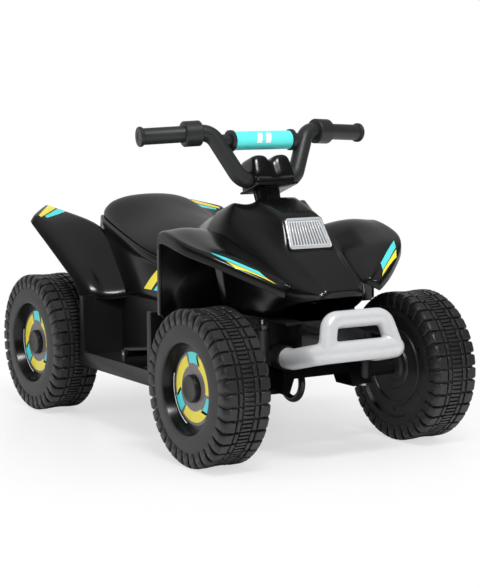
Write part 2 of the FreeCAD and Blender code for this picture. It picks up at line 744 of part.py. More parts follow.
def clamp_cap():
    body = block(FreeCAD.Vector(-CLAMP_HALF_W + CAP_INSET, CLAMP_FRONT + CAP_INSET, BAR_LOW_Z),
                 FreeCAD.Vector(CLAMP_HALF_W - CAP_INSET, CLAMP_REAR - CAP_INSET, CAP_TOP))
    valley = rod(FreeCAD.Vector(0, CLAMP_FRONT, CAP_TOP + VALLEY_R / 2),
                 FreeCAD.Vector(0, CLAMP_REAR, CAP_TOP + VALLEY_R / 2), VALLEY_R)
    heads = []
    for sign in (1, -1):
        heads.append(rod(FreeCAD.Vector(sign * BOLT_X, BOLT_Y, CAP_TOP - BOLT_HEAD_H - BOLT_R),
                         FreeCAD.Vector(sign * BOLT_X, BOLT_Y, CAP_TOP + MESH_REACH), BOLT_HEAD_R + SEAT_FIT))
    return column(body.cut([bar_core(), valley] + bolt_holes() + heads))


def clamp_bolt(sign):
    head_low = CAP_TOP - BOLT_HEAD_H - BOLT_R
    shank = rod(FreeCAD.Vector(sign * BOLT_X, BOLT_Y, BOLT_LOW),
                FreeCAD.Vector(sign * BOLT_X, BOLT_Y, head_low), BOLT_R)
    head = rod(FreeCAD.Vector(sign * BOLT_X, BOLT_Y, head_low),
               FreeCAD.Vector(sign * BOLT_X, BOLT_Y, head_low + BOLT_HEAD_H), BOLT_HEAD_R)
    return column(fuse([shank, head]))


def grip_line():
    """Unit vector outwards along the left grip, and the grip's inner end."""
    high = FreeCAD.Vector(BAR_HIGH_X, BAR_Y, BAR_HIGH_Z)
    end = FreeCAD.Vector(GRIP_END_X, GRIP_END_Y, GRIP_END_Z)
    out = (end - high).normalize()
    return end, out, end - out * GRIP_L


def handlebar():
    end, out, inner = grip_line()
    low = FreeCAD.Vector(BAR_LOW_X, BAR_Y, BAR_LOW_Z)
    high = FreeCAD.Vector(BAR_HIGH_X, BAR_Y, BAR_HIGH_Z)
    half = [inner, high, low]
    points = half + [FreeCAD.Vector(-p.x, p.y, p.z) for p in reversed(half)]
    solids = [bent_tube(points, [BAR_BEND_R] * (len(points) - 2), BAR_R)]
    core = rod(inner, end - out * GRIP_CAP, GRIP_CORE_R)
    solids += [core, mirror(core)]
    rise = (CROSSBAR_Z - BAR_LOW_Z) / (BAR_HIGH_Z - BAR_LOW_Z)
    reach = BAR_LOW_X + (BAR_HIGH_X - BAR_LOW_X) * rise
    solids.append(rod(FreeCAD.Vector(-reach, BAR_Y, CROSSBAR_Z),
                      FreeCAD.Vector(reach, BAR_Y, CROSSBAR_Z), CROSSBAR_R))
    for sign in (1, -1):
        solids.append(rod(FreeCAD.Vector(sign * PAD_HALF_L, BAR_Y, CROSSBAR_Z),
                          FreeCAD.Vector(sign * (PAD_HALF_L + PAD_RING_L), BAR_Y, CROSSBAR_Z), PAD_RING_R))
    return column(fuse(solids))


def grip():
    """The left grip with its collar."""
    end, out, inner = grip_line()
    solids = [rod(inner, end, GRIP_R), rod(inner, inner + out * COLLAR_L, COLLAR_R),
              rod(end - out * GRIP_FLANGE_L, end, GRIP_FLANGE_R)]
    bore = rod(inner - out * MESH_REACH, end - out * GRIP_CAP, GRIP_CORE_R + SEAT_FIT)
    return column(fuse(solids).cut(bore))


def crossbar_pad():
    return column(ring(FreeCAD.Vector(-PAD_HALF_L, BAR_Y, CROSSBAR_Z),
                       FreeCAD.Vector(PAD_HALF_L, BAR_Y, CROSSBAR_Z), PAD_R, CROSSBAR_R + SEAT_FIT))


# Bumper

def bumper():
    bar_y = BUMPER_R - BUMPER_REACH
    seat = -BEAM_HALF_D
    straight = seat - SOCKET_L - BUMPER_R
    half = [front(BUMPER_ARM_X, seat, BUMPER_ARM_Z), front(BUMPER_ARM_X, straight, BUMPER_ARM_Z),
            front(BUMPER_BAR_X, bar_y, BUMPER_BAR_Z)]
    points = half + [FreeCAD.Vector(-p.x, p.y, p.z) for p in reversed(half)]
    bends = [BUMPER_BEND_R] * (len(points) - 2)
    solids = [bent_tube(points, bends, BUMPER_R)]
    hoop_y = bar_y + HOOP_LEAN
    hoop = [front(HOOP_FOOT_X, bar_y, BUMPER_BAR_Z), front(HOOP_TOP_X, hoop_y, HOOP_TOP_Z)]
    points = hoop + [FreeCAD.Vector(-p.x, p.y, p.z) for p in reversed(hoop)]
    solids.append(bent_tube(points, [HOOP_BEND_R] * 2, HOOP_R))
    share = (STAY_Z - BUMPER_BAR_Z) / (HOOP_TOP_Z - BUMPER_BAR_Z)
    stay_x = HOOP_FOOT_X + (HOOP_TOP_X - HOOP_FOOT_X) * share
    stay_y = bar_y + HOOP_LEAN * share
    for sign in (1, -1):
        solids.append(rod(front(sign * stay_x, stay_y, STAY_Z),
                          front(sign * stay_x, FRONT_BOX_FRONT, STAY_Z), STAY_R))
    return fuse(solids)


# Body shells

def hood_stations():
    return [(FRONT_Y + y, list(points)) for y, *points in HOOD_STATIONS]


def headlight_frame():
    """Centre, unit vector down the face and outward normal of the hood's headlight face."""
    top = front(0, LAMP_TOP_STATION.y, LAMP_TOP_STATION.top[1])
    foot = front(0, LAMP_FOOT_STATION.y, LAMP_FOOT_STATION.top[1])
    down = (foot - top).normalize()
    return (top + foot) * 0.5, down, down.cross(X_AXIS)


def headlight_outline(margin, depth):
    """The headlight's trapezoid, drawn in by a margin, at a distance out of the face."""
    centre, down, out = headlight_frame()
    slope = (LAMP_LOW_HALF_W - LAMP_TOP_HALF_W) / LAMP_H
    half = LAMP_H / 2 - margin
    top = LAMP_TOP_HALF_W + slope * margin - margin
    low = LAMP_LOW_HALF_W - slope * margin - margin
    corners = [(-top, -half), (top, -half), (low, half), (-low, half)]
    return [centre + X_AXIS * x + down * v + out * depth for x, v in corners]


def headlight_block(margin, low, high):
    out = headlight_frame()[2]
    return prism(headlight_outline(margin, low), out * (high - low))


def hood():
    skin = shell(hood_stations(), False, True)
    opening = headlight_block(LAMP_FRAME / 2, -LAMP_DEPTH - SHELL_WALL, LAMP_PROUD)
    return skin.cut([opening, bush_hole(COLUMN_STATION.top[1])])


def headlight_bezel():
    flange = headlight_block(0, 0, LAMP_PROUD)
    throat = headlight_block(LAMP_FRAME / 2 + PLAY, -LAMP_DEPTH, 0)
    room = headlight_block(LAMP_FRAME, LENS_T - LAMP_DEPTH, LAMP_PROUD + MESH_REACH)
    return fuse([flange, throat]).cut(room)


def headlight_lens():
    plate = headlight_block(LAMP_FRAME + SEAT_FIT, LAMP_PROUD - LENS_T - LENS_RIB, LAMP_PROUD - LENS_RIB)
    centre, down, out = headlight_frame()
    ribs = []
    width = 2 * (LAMP_TOP_HALF_W - 2 * LAMP_FRAME)
    half = LAMP_H / 2 - 2 * LAMP_FRAME
    for index in range(LENS_RIBS):
        x = -width / 2 + width * index / (LENS_RIBS - 1)
        corners = [(x - LENS_RIB / 2, -half), (x + LENS_RIB / 2, -half), (x + LENS_RIB / 2, half),
                   (x - LENS_RIB / 2, half)]
        base = [centre + X_AXIS * u + down * v + out * (LAMP_PROUD - 2 * LENS_RIB) for u, v in corners]
        ribs.append(prism(base, out * (2 * LENS_RIB)))
    return fuse([plate] + ribs)


def body_lips():
    """Stations of (y, half width at the foot, half width and height of the lip)."""
    first = (TUB_FRONT_Y, BODY_HALF_W, BODY_FRONT_LIP[0], BODY_FRONT_LIP[1])
    return [first] + [(REAR_Y + y, foot, lip, z) for y, foot, lip, z in BODY_STATIONS]


def body_side(y, z):
    """Half width of the upper body at a place and height."""
    stations = body_lips()
    for (y0, *before), (y1, *after) in zip(stations, stations[1:]):
        if y <= y1:
            break
    share = (y - y0) / (y1 - y0)
    foot, lip, top = (a + (b - a) * share for a, b in zip(before, after))
    return foot + (lip - foot) * min(1.0, (z - SHELL_FOOT) / (top - SHELL_FOOT))


def upper_body():
    stations = [(y, [(foot, SHELL_FOOT), (lip, z)]) for y, foot, lip, z in body_lips()]
    return shell(stations, False, False)


def tank_stations():
    lips = body_lips()
    (y0, _, lip0, z0), (y1, _, lip1, z1) = lips[0], lips[1]
    stations = []
    for share, *points in TANK_STATIONS:
        foot = (lip0 + (lip1 - lip0) * share, z0 + (z1 - z0) * share + PLAY)
        y = y0 + PLAY + (y1 - y0 - 2 * PLAY) * share
        stations.append((y, [foot] + list(points)))
    return stations


def switch_frame():
    """Place on the tank's sloping top, unit vector to the rear and outward normal."""
    before, after = tank_stations()[1], tank_stations()[2]
    start = FreeCAD.Vector(0, before[0], AXLE_Z + before[1][3][1])
    end = FreeCAD.Vector(0, after[0], AXLE_Z + after[1][3][1])
    back = (end - start).normalize()
    return start + (end - start) * SWITCH_SHARE, back, X_AXIS.cross(back)


def switch_block(width, length, low, high):
    place, back, out = switch_frame()
    corners = [(-width / 2, -length / 2), (width / 2, -length / 2),
               (width / 2, length / 2), (-width / 2, length / 2)]
    return prism([place + X_AXIS * x + back * v + out * low for x, v in corners], out * (high - low))


def tank_cover():
    opening = switch_block(SWITCH_W - 2 * SWITCH_RIM + 2 * PLAY, SWITCH_L - 2 * SWITCH_RIM + 2 * PLAY,
                           -SWITCH_BODY_H, SWITCH_RIM)
    return shell(tank_stations(), False, False).cut(opening)


def rocker_pin(radius, half_length):
    place = switch_frame()[0]
    return rod(place - X_AXIS * half_length, place + X_AXIS * half_length, radius)


def switch_housing():
    flange = switch_block(SWITCH_W, SWITCH_L, 0, SWITCH_RIM)
    body = switch_block(SWITCH_W - 2 * SWITCH_RIM, SWITCH_L - 2 * SWITCH_RIM, -SWITCH_BODY_H, 0)
    room = switch_block(ROCKER_W + 2 * PLAY, ROCKER_L + 2 * PLAY,
                        -ROCKER_DROP - 2 * SWITCH_RIM, SWITCH_RIM + MESH_REACH)
    return fuse([flange, body]).cut([room, rocker_pin(ROCKER_PIN_R + RUN_FIT, SWITCH_W / 2 - SWITCH_RIM)])


def switch_rocker():
    place, back, out = switch_frame()
    half = ROCKER_L / 2 - PLAY
    profile = [(-half, -ROCKER_DROP), (half, -ROCKER_DROP), (half, ROCKER_H), (0, ROCKER_H - SWITCH_RIM / 2),
               (-half, ROCKER_H)]
    side = X_AXIS * (-ROCKER_W / 2)
    body = prism([place + side + back * v + out * w for v, w in profile], X_AXIS * ROCKER_W)
    return fuse([body, rocker_pin(ROCKER_PIN_R, SWITCH_W / 2 - SWITCH_RIM)])


def crowned(y, half, edge, crown):
    """A saddle section: flat below, an arc over the crown."""
    left = FreeCAD.Vector(-half, y, AXLE_Z + edge)
    right = FreeCAD.Vector(half, y, AXLE_Z + edge)
    top = FreeCAD.Vector(0, y, AXLE_Z + edge + crown)
    return Part.Wire([Part.Arc(left, top, right).toShape(), Part.LineSegment(right, left).toShape()])


def seat():
    outer = []
    inner = []
    stations = body_lips()[1:-1]
    last = len(stations) - 1
    for index, ((y, _, lip, z), crown) in enumerate(zip(stations, SEAT_CROWN)):
        shift = SHELL_WALL if index == 0 else 0.0
        if index == last:
            shift = -SHELL_WALL
        half = lip - SEAT_INSET
        outer.append(crowned(y, half, z + PLAY, crown))
        inner.append(crowned(y + shift, half - SHELL_WALL, z + PLAY - MESH_REACH,
                             crown - SHELL_WALL + MESH_REACH))
    return Part.makeLoft(outer, True, True).cut(Part.makeLoft(inner, True, True))


def hood_edge(y):
    """Fender line of the hood at a distance from the front axle."""
    for before, after in zip(HOOD_STATIONS, HOOD_STATIONS[1:]):
        if y <= after.y:
            break
    share = (y - before.y) / (after.y - before.y)
    (x0, z0), (x1, z1) = before.fender_line, after.fender_line
    return front(x0 + (x1 - x0) * share + SKIN_GAP, y, z0 + (z1 - z0) * share)


def blade(stations, down):
    """A curved plate with a lip along its outer side, through its inner edge, crease and lip edge."""
    sections = []
    for inner, crease, edge in stations:
        inward = (inner - crease).normalize() * FENDER_T
        under = down * FENDER_T
        sections.append([inner, crease, edge, edge + inward, crease + inward + under, inner + under])
    return ruled(sections)


def front_fender():
    """The left front fender with its mudguard wall."""
    stations = []
    down = Z_AXIS * -1
    for y, (outer_in, outer_y, outer_z) in FRONT_FENDER:
        outer = front(FENDER_X - outer_in, outer_y, outer_z)
        stations.append((hood_edge(y), outer, outer + down * FRONT_LIP))
    plate = blade(stations, down)
    inner_top = hood_edge(MUDGUARD_Y)
    foot_x, _ = COLUMN_STATION.foot
    outer_z = FRONT_FENDER[0][1][2] - FENDER_T / 2
    y = FRONT_Y + MUDGUARD_Y
    gap = 2 * SKIN_GAP + SHELL_WALL
    outline = [
        FreeCAD.Vector(foot_x + gap, y, AXLE_Z + MUDGUARD_LOW),
        FreeCAD.Vector(FENDER_X - MUDGUARD_CUT, y, AXLE_Z + MUDGUARD_LOW),
        FreeCAD.Vector(FENDER_X, y, AXLE_Z + MUDGUARD_LOW + MUDGUARD_CUT),
        FreeCAD.Vector(FENDER_X, y, AXLE_Z + outer_z),
        FreeCAD.Vector(inner_top.x + gap, y, inner_top.z - FENDER_T / 2),
    ]
    return fuse([plate, prism(outline, Y_AXIS * FENDER_T)])


def rear_fender():
    """The left rear fender blade."""
    lean = math.radians(REAR_LEAN)
    down = FreeCAD.Vector(0, math.cos(lean), -math.sin(lean))
    under = down * FENDER_T
    stations = []
    for (inner_in, inner_y, inner_z), (outer_in, outer_y, outer_z) in REAR_FENDER:
        if inner_in is None:
            y = REAR_Y + inner_y
            x = REAR_GAP + max(body_side(y, inner_z), body_side(y + under.y, inner_z + under.z))
        else:
            x = FENDER_X - inner_in
        inner = rear(x, inner_y, inner_z)
        edge = rear(FENDER_X - outer_in, outer_y, outer_z)
        inward = (inner - edge).normalize()
        stations.append((inner, edge + inward * REAR_LIP_W - down * REAR_LIP_DROP, edge))
    return blade(stations, down)


# Lower chassis

def tray(low, high):
    """A box with thin walls, open at the top."""
    wall = FreeCAD.Vector(SHELL_WALL, SHELL_WALL, SHELL_WALL)
    roof = FreeCAD.Vector(high.x - SHELL_WALL, high.y - SHELL_WALL, high.z + MESH_REACH)
    return block(low, high), block(low + wall, roof)


def footwell(sign):
    """Floor, front and rear wall, outer rail and corner posts of one footwell."""
    inner = sign * (TUNNEL_HALF_W - SHELL_WALL)
    outer = sign * TUB_HALF_W
    rail = sign * (TUB_HALF_W - RAIL_W)
    low_x, high_x = min(inner, outer), max(inner, outer)
    rail_x0, rail_x1 = min(rail, outer), max(rail, outer)
    solids = []
    for x0, x1, y0, y1, z0, z1 in (
        (low_x, high_x, TUB_FRONT_Y, TUB_REAR_Y, TUB_FLOOR - SHELL_WALL, TUB_FLOOR),
        (low_x, high_x, TUB_FRONT_Y, TUB_FRONT_Y + SHELL_WALL, RAIL_LOW, TUB_TOP),
        (low_x, high_x, TUB_REAR_Y - SHELL_WALL, TUB_REAR_Y, RAIL_LOW, TUB_TOP),
        (rail_x0, rail_x1, TUB_FRONT_Y, TUB_REAR_Y, RAIL_LOW, RAIL_HIGH),
        (rail_x0, rail_x1, TUB_FRONT_Y, TUB_FRONT_Y + POST_W, RAIL_LOW, TUB_TOP),
        (rail_x0, rail_x1, TUB_REAR_Y - POST_W, TUB_REAR_Y, RAIL_LOW, TUB_TOP),
    ):
        solids.append(block(FreeCAD.Vector(x0, y0, AXLE_Z + z0), FreeCAD.Vector(x1, y1, AXLE_Z + z1)))
    return solids


def pedal_ears():
    solids = []
    for x in (PEDAL_X - PEDAL_W / 2 - PLAY - EAR_T, PEDAL_X + PEDAL_W / 2 + PLAY):
        ear_top = TUB_FLOOR + PEDAL_Z + PEDAL_KNUCKLE_R
        solids.append(block(front(x, PEDAL_Y - PEDAL_KNUCKLE_R, TUB_FLOOR),
                            front(x + EAR_T, PEDAL_Y + PEDAL_KNUCKLE_R, ear_top)))
    return solids


def pedal_axis(reach, radius):
    half = PEDAL_W / 2 + reach
    z = TUB_FLOOR + PEDAL_Z
    return rod(front(PEDAL_X - half, PEDAL_Y, z), front(PEDAL_X + half, PEDAL_Y, z), radius)


def lower_chassis():
    tunnel = tray(FreeCAD.Vector(-TUNNEL_HALF_W, TUB_FRONT_Y, AXLE_Z + TUNNEL_LOW),
                  FreeCAD.Vector(TUNNEL_HALF_W, REAR_Y + TUNNEL_REAR, AXLE_Z + TUB_TOP))
    tail = tray(rear(-REAR_BOX_HALF_W, TUNNEL_REAR - SHELL_WALL, REAR_BOX_LOW),
                rear(REAR_BOX_HALF_W, REAR_BOX_END, TUB_TOP))
    nose = tray(front(-FRONT_BOX_HALF_W, FRONT_BOX_FRONT, BEAM_HIGH),
                front(FRONT_BOX_HALF_W, TUB_FRONT + SHELL_WALL, TUB_TOP))
    flange = block(front(-FLANGE_HALF_W, FRONT_BOX_FRONT, TUB_TOP - SHELL_WALL),
                   front(FLANGE_HALF_W, TUB_FRONT, TUB_TOP))
    solids = [tunnel[0], tail[0], nose[0], flange] + footwell(1) + footwell(-1) + pedal_ears()
    solid = fuse(solids).cut([tunnel[1], tail[1], nose[1]])
    holes = [bush_hole(BEAM_HIGH), pedal_axis(2 * EAR_T, PEDAL_PIN_R + SEAT_FIT),
             charge_socket_body(SEAT_FIT), motor_room(),
             rod(rear(-REAR_BOX_HALF_W - MESH_REACH, 0, 0), rear(REAR_BOX_HALF_W + MESH_REACH, 0, 0),
                 AXLE_R + SHELL_WALL)]
    return solid.cut(holes)


# Rear axle and gear train

def rear_axle():
    tip = WHEEL_X + TYRE_W / 2 - DISH_DEPTH + AXLE_END
    return rod(rear(-tip, 0, 0), rear(tip, 0, 0), AXLE_R)


def axle_bush(end):
    """Bush from inside the chassis tail to an end, left or right of it."""
    side = math.copysign(1.0, end)
    inner = side * (REAR_BOX_HALF_W - 2 * SHELL_WALL)
    return ring(rear(inner, 0, 0), rear(end, 0, 0), AXLE_R + SHELL_WALL - SEAT_FIT, AXLE_R + SEAT_FIT)


def gear_blank(centre, teeth, module, width, phase):
    """A spur gear from centre towards +X, with a tooth at the phase angle (degrees from +Y)."""
    pitch = 2 * math.pi / teeth
    root = module * teeth / 2 - DEDENDUM * module
    tip = module * teeth / 2 + ADDENDUM * module
    points = []
    for index in range(teeth):
        middle = math.radians(phase) + pitch * index
        for radius, share in ((root, -TOOTH_ROOT), (tip, -TOOTH_TIP), (tip, TOOTH_TIP), (root, TOOTH_ROOT)):
            angle = middle + pitch * share
            points.append(centre + FreeCAD.Vector(0, radius * math.cos(angle), radius * math.sin(angle)))
    return prism(points, X_AXIS * width)


def gear_centre(start, distance, angle):
    turn = math.radians(angle)
    return start + FreeCAD.Vector(0, distance * math.cos(turn), distance * math.sin(turn))


IDLER_REACH = DRIVE_MODULE * (DRIVE_TEETH + IDLER_TEETH) / 2
PINION_REACH = IDLER_MODULE * (IDLER_WHEEL_TEETH + PINION_TEETH) / 2


def at_x(point, x):
    return FreeCAD.Vector(x, point.y, point.z)


def idler_place():
    return gear_centre(rear(0, 0, 0), IDLER_REACH, DRIVE_ANGLE)


def pinion_place():
    return gear_centre(idler_place(), PINION_REACH, PINION_ANGLE)


def drive_gear():
    teeth = gear_blank(rear(DRIVE_X, 0, 0), DRIVE_TEETH, DRIVE_MODULE, DRIVE_W, DRIVE_ANGLE)
    hub = rod(rear(DRIVE_X, 0, 0), rear(WHEEL_X - TYRE_W / 2, 0, 0), DRIVE_HUB_R)
    bore = rod(rear(DRIVE_X - MESH_REACH, 0, 0), rear(WHEEL_X, 0, 0), AXLE_R + RUN_FIT)
    return fuse([teeth, hub]).cut(bore)


def reduction_gear():
    place = idler_place()
    gap_phase = DRIVE_ANGLE + 180 + 180.0 / IDLER_TEETH
    small = gear_blank(at_x(place, IDLER_X), IDLER_TEETH, DRIVE_MODULE, IDLER_W, gap_phase)
    large = gear_blank(at_x(place, IDLER_WHEEL_X), IDLER_WHEEL_TEETH, IDLER_MODULE, IDLER_WHEEL_W,
                       PINION_ANGLE)
    pin = rod(at_x(place, REAR_BOX_HALF_W + PLAY + MESH_REACH), at_x(place, CASE_END_X - MESH_REACH),
              TRUNNION_R)
    spacer = rod(at_x(place, IDLER_WHEEL_X), at_x(place, IDLER_X), 2 * TRUNNION_R)
    return fuse([small, large, pin, spacer])


def motor_pinion():
    place = pinion_place()
    gap_phase = PINION_ANGLE + 180 + 180.0 / PINION_TEETH
    teeth = gear_blank(at_x(place, IDLER_WHEEL_X), PINION_TEETH, IDLER_MODULE, IDLER_WHEEL_W, gap_phase)
    shaft = rod(at_x(place, REAR_BOX_HALF_W - SHAFT_SEAT + PLAY), at_x(place, IDLER_WHEEL_X), SHAFT_R)
    return fuse([teeth, shaft])


def motor_room():
    place = pinion_place()
    return rod(at_x(place, REAR_BOX_HALF_W - 2 * SHELL_WALL), at_x(place, REAR_BOX_HALF_W + MESH_REACH),
               MOTOR_R + SEAT_FIT)


def motor():
    place = pinion_place()
    can = rod(at_x(place, REAR_BOX_HALF_W - MOTOR_L), at_x(place, REAR_BOX_HALF_W), MOTOR_R)
    bore = rod(at_x(place, REAR_BOX_HALF_W - SHAFT_SEAT), at_x(place, REAR_BOX_HALF_W + MESH_REACH),
               SHAFT_R + RUN_FIT)
    return can.cut(bore)


def case_outline(margin, x0, x1):
    """The case's two rounded ends and the flat between them, drawn in by a margin."""
    big = DRIVE_MODULE * (DRIVE_TEETH / 2 + ADDENDUM) + CASE_ROOM + CASE_WALL - margin
    small = IDLER_MODULE * (IDLER_WHEEL_TEETH / 2 + ADDENDUM) + CASE_ROOM + CASE_WALL - margin
    motor_end = IDLER_MODULE * (PINION_TEETH / 2 + ADDENDUM) + CASE_ROOM + CASE_WALL - margin
    places = [(rear(0, 0, 0), big), (idler_place(), small), (pinion_place(), motor_end)]
    solids = [rod(at_x(place, x0), at_x(place, x1), radius) for place, radius in places]
    for (place0, radius0), (place1, radius1) in zip(places, places[1:]):
        along = place1 - place0
        reach = along.Length
        tilt = math.asin((radius0 - radius1) / reach)
        unit = along.normalize()
        side = X_AXIS.cross(unit)
        corners = []
        for place, radius, sign in ((place0, radius0, 1), (place1, radius1, 1),
                                    (place1, radius1, -1), (place0, radius0, -1)):
            tangent = unit * math.sin(tilt) + side * (sign * math.cos(tilt))
            corners.append(at_x(place, x0) + tangent * radius)
        solids.append(prism(corners, X_AXIS * (x1 - x0)))
    return fuse(solids)


def gearbox_half(x0, x1, inner_side):
    room0 = x0 + CASE_WALL if inner_side else x0 - MESH_REACH
    room1 = x1 + MESH_REACH if inner_side else x1 - CASE_WALL
    body = case_outline(0, x0, x1).cut(case_outline(CASE_WALL, room0, room1))
    place = idler_place()
    hub = AXLE_R + SEAT_FIT if inner_side else DRIVE_HUB_R + PLAY
    holes = [
        rod(rear(x0 - MESH_REACH, 0, 0), rear(x1 + MESH_REACH, 0, 0), hub),
        rod(at_x(place, x0 - MESH_REACH), at_x(place, x1 + MESH_REACH), TRUNNION_R + RUN_FIT),
    ]
    if inner_side:
        motor_at = pinion_place()
        holes.append(rod(at_x(motor_at, x0 - MESH_REACH), at_x(motor_at, x1), 2 * SHAFT_R))
    return body.cut(holes)


# Battery, strap and charge socket

def battery():
    floor = TUNNEL_LOW + SHELL_WALL
    width, length, height = BATTERY
    return block(rear(-width / 2, BATTERY_Y, floor), rear(width / 2, BATTERY_Y + length, floor + height))


def battery_strap():
    floor = TUNNEL_LOW + SHELL_WALL
    width, length, height = BATTERY
    middle = BATTERY_Y + length / 2
    half = width / 2 + STRAP_T + PLAY
    under = height + PLAY
    outline = [(-half - STRAP_FOOT, 0), (-half + STRAP_T, 0), (-half + STRAP_T, under),
               (half - STRAP_T, under), (half - STRAP_T, 0), (half + STRAP_FOOT, 0),
               (half + STRAP_FOOT, STRAP_T), (half, STRAP_T), (half, under + STRAP_T),
               (-half, under + STRAP_T), (-half, STRAP_T), (-half - STRAP_FOOT, STRAP_T)]
    points = [rear(x, middle - STRAP_W / 2, floor + z) for x, z in outline]
    return prism(points, Y_AXIS * STRAP_W)


def charge_socket_body(gap):
    return rod(rear(SOCKET_X, REAR_BOX_END - SOCKET_DEPTH - SHELL_WALL, SOCKET_Z),
               rear(SOCKET_X, REAR_BOX_END + gap, SOCKET_Z), SOCKET_BODY_R + gap)


def charge_socket():
    face = REAR_BOX_END + SOCKET_FLANGE_T
    flange = rod(rear(SOCKET_X, REAR_BOX_END, SOCKET_Z), rear(SOCKET_X, face, SOCKET_Z), SOCKET_FLANGE_R)
    bore = rod(rear(SOCKET_X, face - SOCKET_DEPTH, SOCKET_Z), rear(SOCKET_X, face + MESH_REACH, SOCKET_Z),
               SOCKET_R)
    return fuse([charge_socket_body(0), flange]).cut(bore)


# Accelerator pedal with its pin and leaf spring

def pedal_underside(y):
    """Height of the pedal's underside at a distance from the front axle."""
    share = (PEDAL_Y - y) / PEDAL_L
    return TUB_FLOOR + PEDAL_REAR_Z + (PEDAL_FRONT_Z - PEDAL_REAR_Z) * share - PEDAL_T


def accelerator_pedal():
    x = PEDAL_X - PEDAL_W / 2
    z = TUB_FLOOR + PEDAL_Z
    tip = PEDAL_Y - PEDAL_L
    heel = PEDAL_Y + PEDAL_KNUCKLE_R
    neck = PEDAL_Y - PEDAL_KNUCKLE_R
    outline = [front(x, heel, z), front(x, heel, TUB_FLOOR + PEDAL_REAR_Z),
               front(x, PEDAL_Y, TUB_FLOOR + PEDAL_REAR_Z), front(x, tip, TUB_FLOOR + PEDAL_FRONT_Z),
               front(x, tip, pedal_underside(tip)), front(x, neck, pedal_underside(neck)), front(x, neck, z)]
    body = fuse([prism(outline, X_AXIS * PEDAL_W), pedal_axis(0, PEDAL_KNUCKLE_R)])
    return body.cut(pedal_axis(MESH_REACH, PEDAL_PIN_R + RUN_FIT))


def pedal_spring():
    """Leaf of spring steel, flat on the floor, then rising to the pedal's underside."""
    x = PEDAL_X - LEAF_W / 2
    root = PEDAL_Y - PEDAL_L / 2 + LEAF_FOOT
    bend = root - LEAF_FOOT
    tip = bend - LEAF_RUN
    top = pedal_underside(tip) - PLAY
    outline = [front(x, root, TUB_FLOOR), front(x, root, TUB_FLOOR + LEAF_T),
               front(x, bend, TUB_FLOOR + LEAF_T), front(x, tip, top), front(x, tip, top - LEAF_T),
               front(x, bend, TUB_FLOOR)]
    return prism(outline, X_AXIS * LEAF_W)


def main():
    os.makedirs("parts", exist_ok=True)
    wheels()
    save("front_axle_beam", [axle_beam()])
    save("kingpin_bolts", [kingpin_bolt(1), kingpin_bolt(-1)])
    save("kingpin_nuts", [kingpin_nut(1), kingpin_nut(-1)])
    for name, piece in (("knuckle", knuckle()), ("stub_axle", stub_axle()),
                        ("front_axle_nut", axle_nut(front)), ("grip", grip()),
                        ("front_fender", front_fender()), ("rear_fender", rear_fender())):
        save(name + "_left", [piece])
        save(name + "_right", [mirror(piece)])
    save("steering_link", [steering_link()])
    save("steering_rod", [steering_rod()])
    save("steering_bushes", [steering_bush(BEAM_HIGH + BUSH_L / 4),
                             steering_bush(COLUMN_STATION.top[1] - BUSH_L / 4)])
    save("clamp_base", [clamp_base()])
    save("clamp_cap", [clamp_cap()])
    save("clamp_bolts", [clamp_bolt(1), clamp_bolt(-1)])
    save("handlebar", [handlebar()])
    save("crossbar_pad", [crossbar_pad()])
    save("front_bumper", [bumper()])
    save("hood", [hood()])
    save("headlight_bezel", [headlight_bezel()])
    save("headlight_lens", [headlight_lens()])
    save("upper_body", [upper_body()])
    save("tank_cover", [tank_cover()])
    save("switch_housing", [switch_housing()])
    save("switch_rocker", [switch_rocker()])
    save("seat", [seat()])
    save("lower_chassis", [lower_chassis()])
    save("rear_axle", [rear_axle()])
    free_wheel_face = WHEEL_X - TYRE_W / 2 - PLAY
    save("rear_axle_bushes", [axle_bush(REAR_BOX_HALF_W), axle_bush(-free_wheel_face)])
    save("rear_axle_nuts", [axle_nut(rear), mirror(axle_nut(rear))])
    save("drive_gear", [drive_gear()])
    save("reduction_gear", [reduction_gear()])
    save("motor_pinion", [motor_pinion()])
    save("motor", [motor()])
    save("gearbox_case_inner", [gearbox_half(REAR_BOX_HALF_W, CASE_SPLIT_X, True)])
    save("gearbox_case_outer", [gearbox_half(CASE_SPLIT_X, CASE_END_X, False)])
    save("battery", [battery()])
    save("battery_strap", [battery_strap()])
    save("charge_socket", [charge_socket()])
    save("accelerator_pedal", [accelerator_pedal()])
    save("pedal_pin", [pedal_axis(EAR_T + PLAY, PEDAL_PIN_R)])
    save("pedal_spring", [pedal_spring()])


main()
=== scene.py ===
import json
import math

import bmesh
import bpy
from mathutils import Matrix, Vector


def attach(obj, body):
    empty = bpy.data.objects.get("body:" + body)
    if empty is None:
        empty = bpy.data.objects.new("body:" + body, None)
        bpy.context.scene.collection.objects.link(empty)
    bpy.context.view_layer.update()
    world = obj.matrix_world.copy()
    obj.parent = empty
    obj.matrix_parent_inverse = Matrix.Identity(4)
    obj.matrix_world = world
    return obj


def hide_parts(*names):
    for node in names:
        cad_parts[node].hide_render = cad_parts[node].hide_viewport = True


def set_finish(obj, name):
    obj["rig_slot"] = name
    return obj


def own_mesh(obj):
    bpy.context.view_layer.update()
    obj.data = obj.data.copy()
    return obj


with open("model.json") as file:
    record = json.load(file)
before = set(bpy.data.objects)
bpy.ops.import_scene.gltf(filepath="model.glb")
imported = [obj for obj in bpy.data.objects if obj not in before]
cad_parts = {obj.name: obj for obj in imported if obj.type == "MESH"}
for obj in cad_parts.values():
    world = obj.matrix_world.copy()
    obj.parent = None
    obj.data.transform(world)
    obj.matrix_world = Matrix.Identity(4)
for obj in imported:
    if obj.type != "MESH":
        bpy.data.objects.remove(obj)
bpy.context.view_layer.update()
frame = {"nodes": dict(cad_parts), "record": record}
nodes = frame["nodes"]
slot_of = {part["node"]: part["material_slot"] for part in frame["record"]["subparts"]}

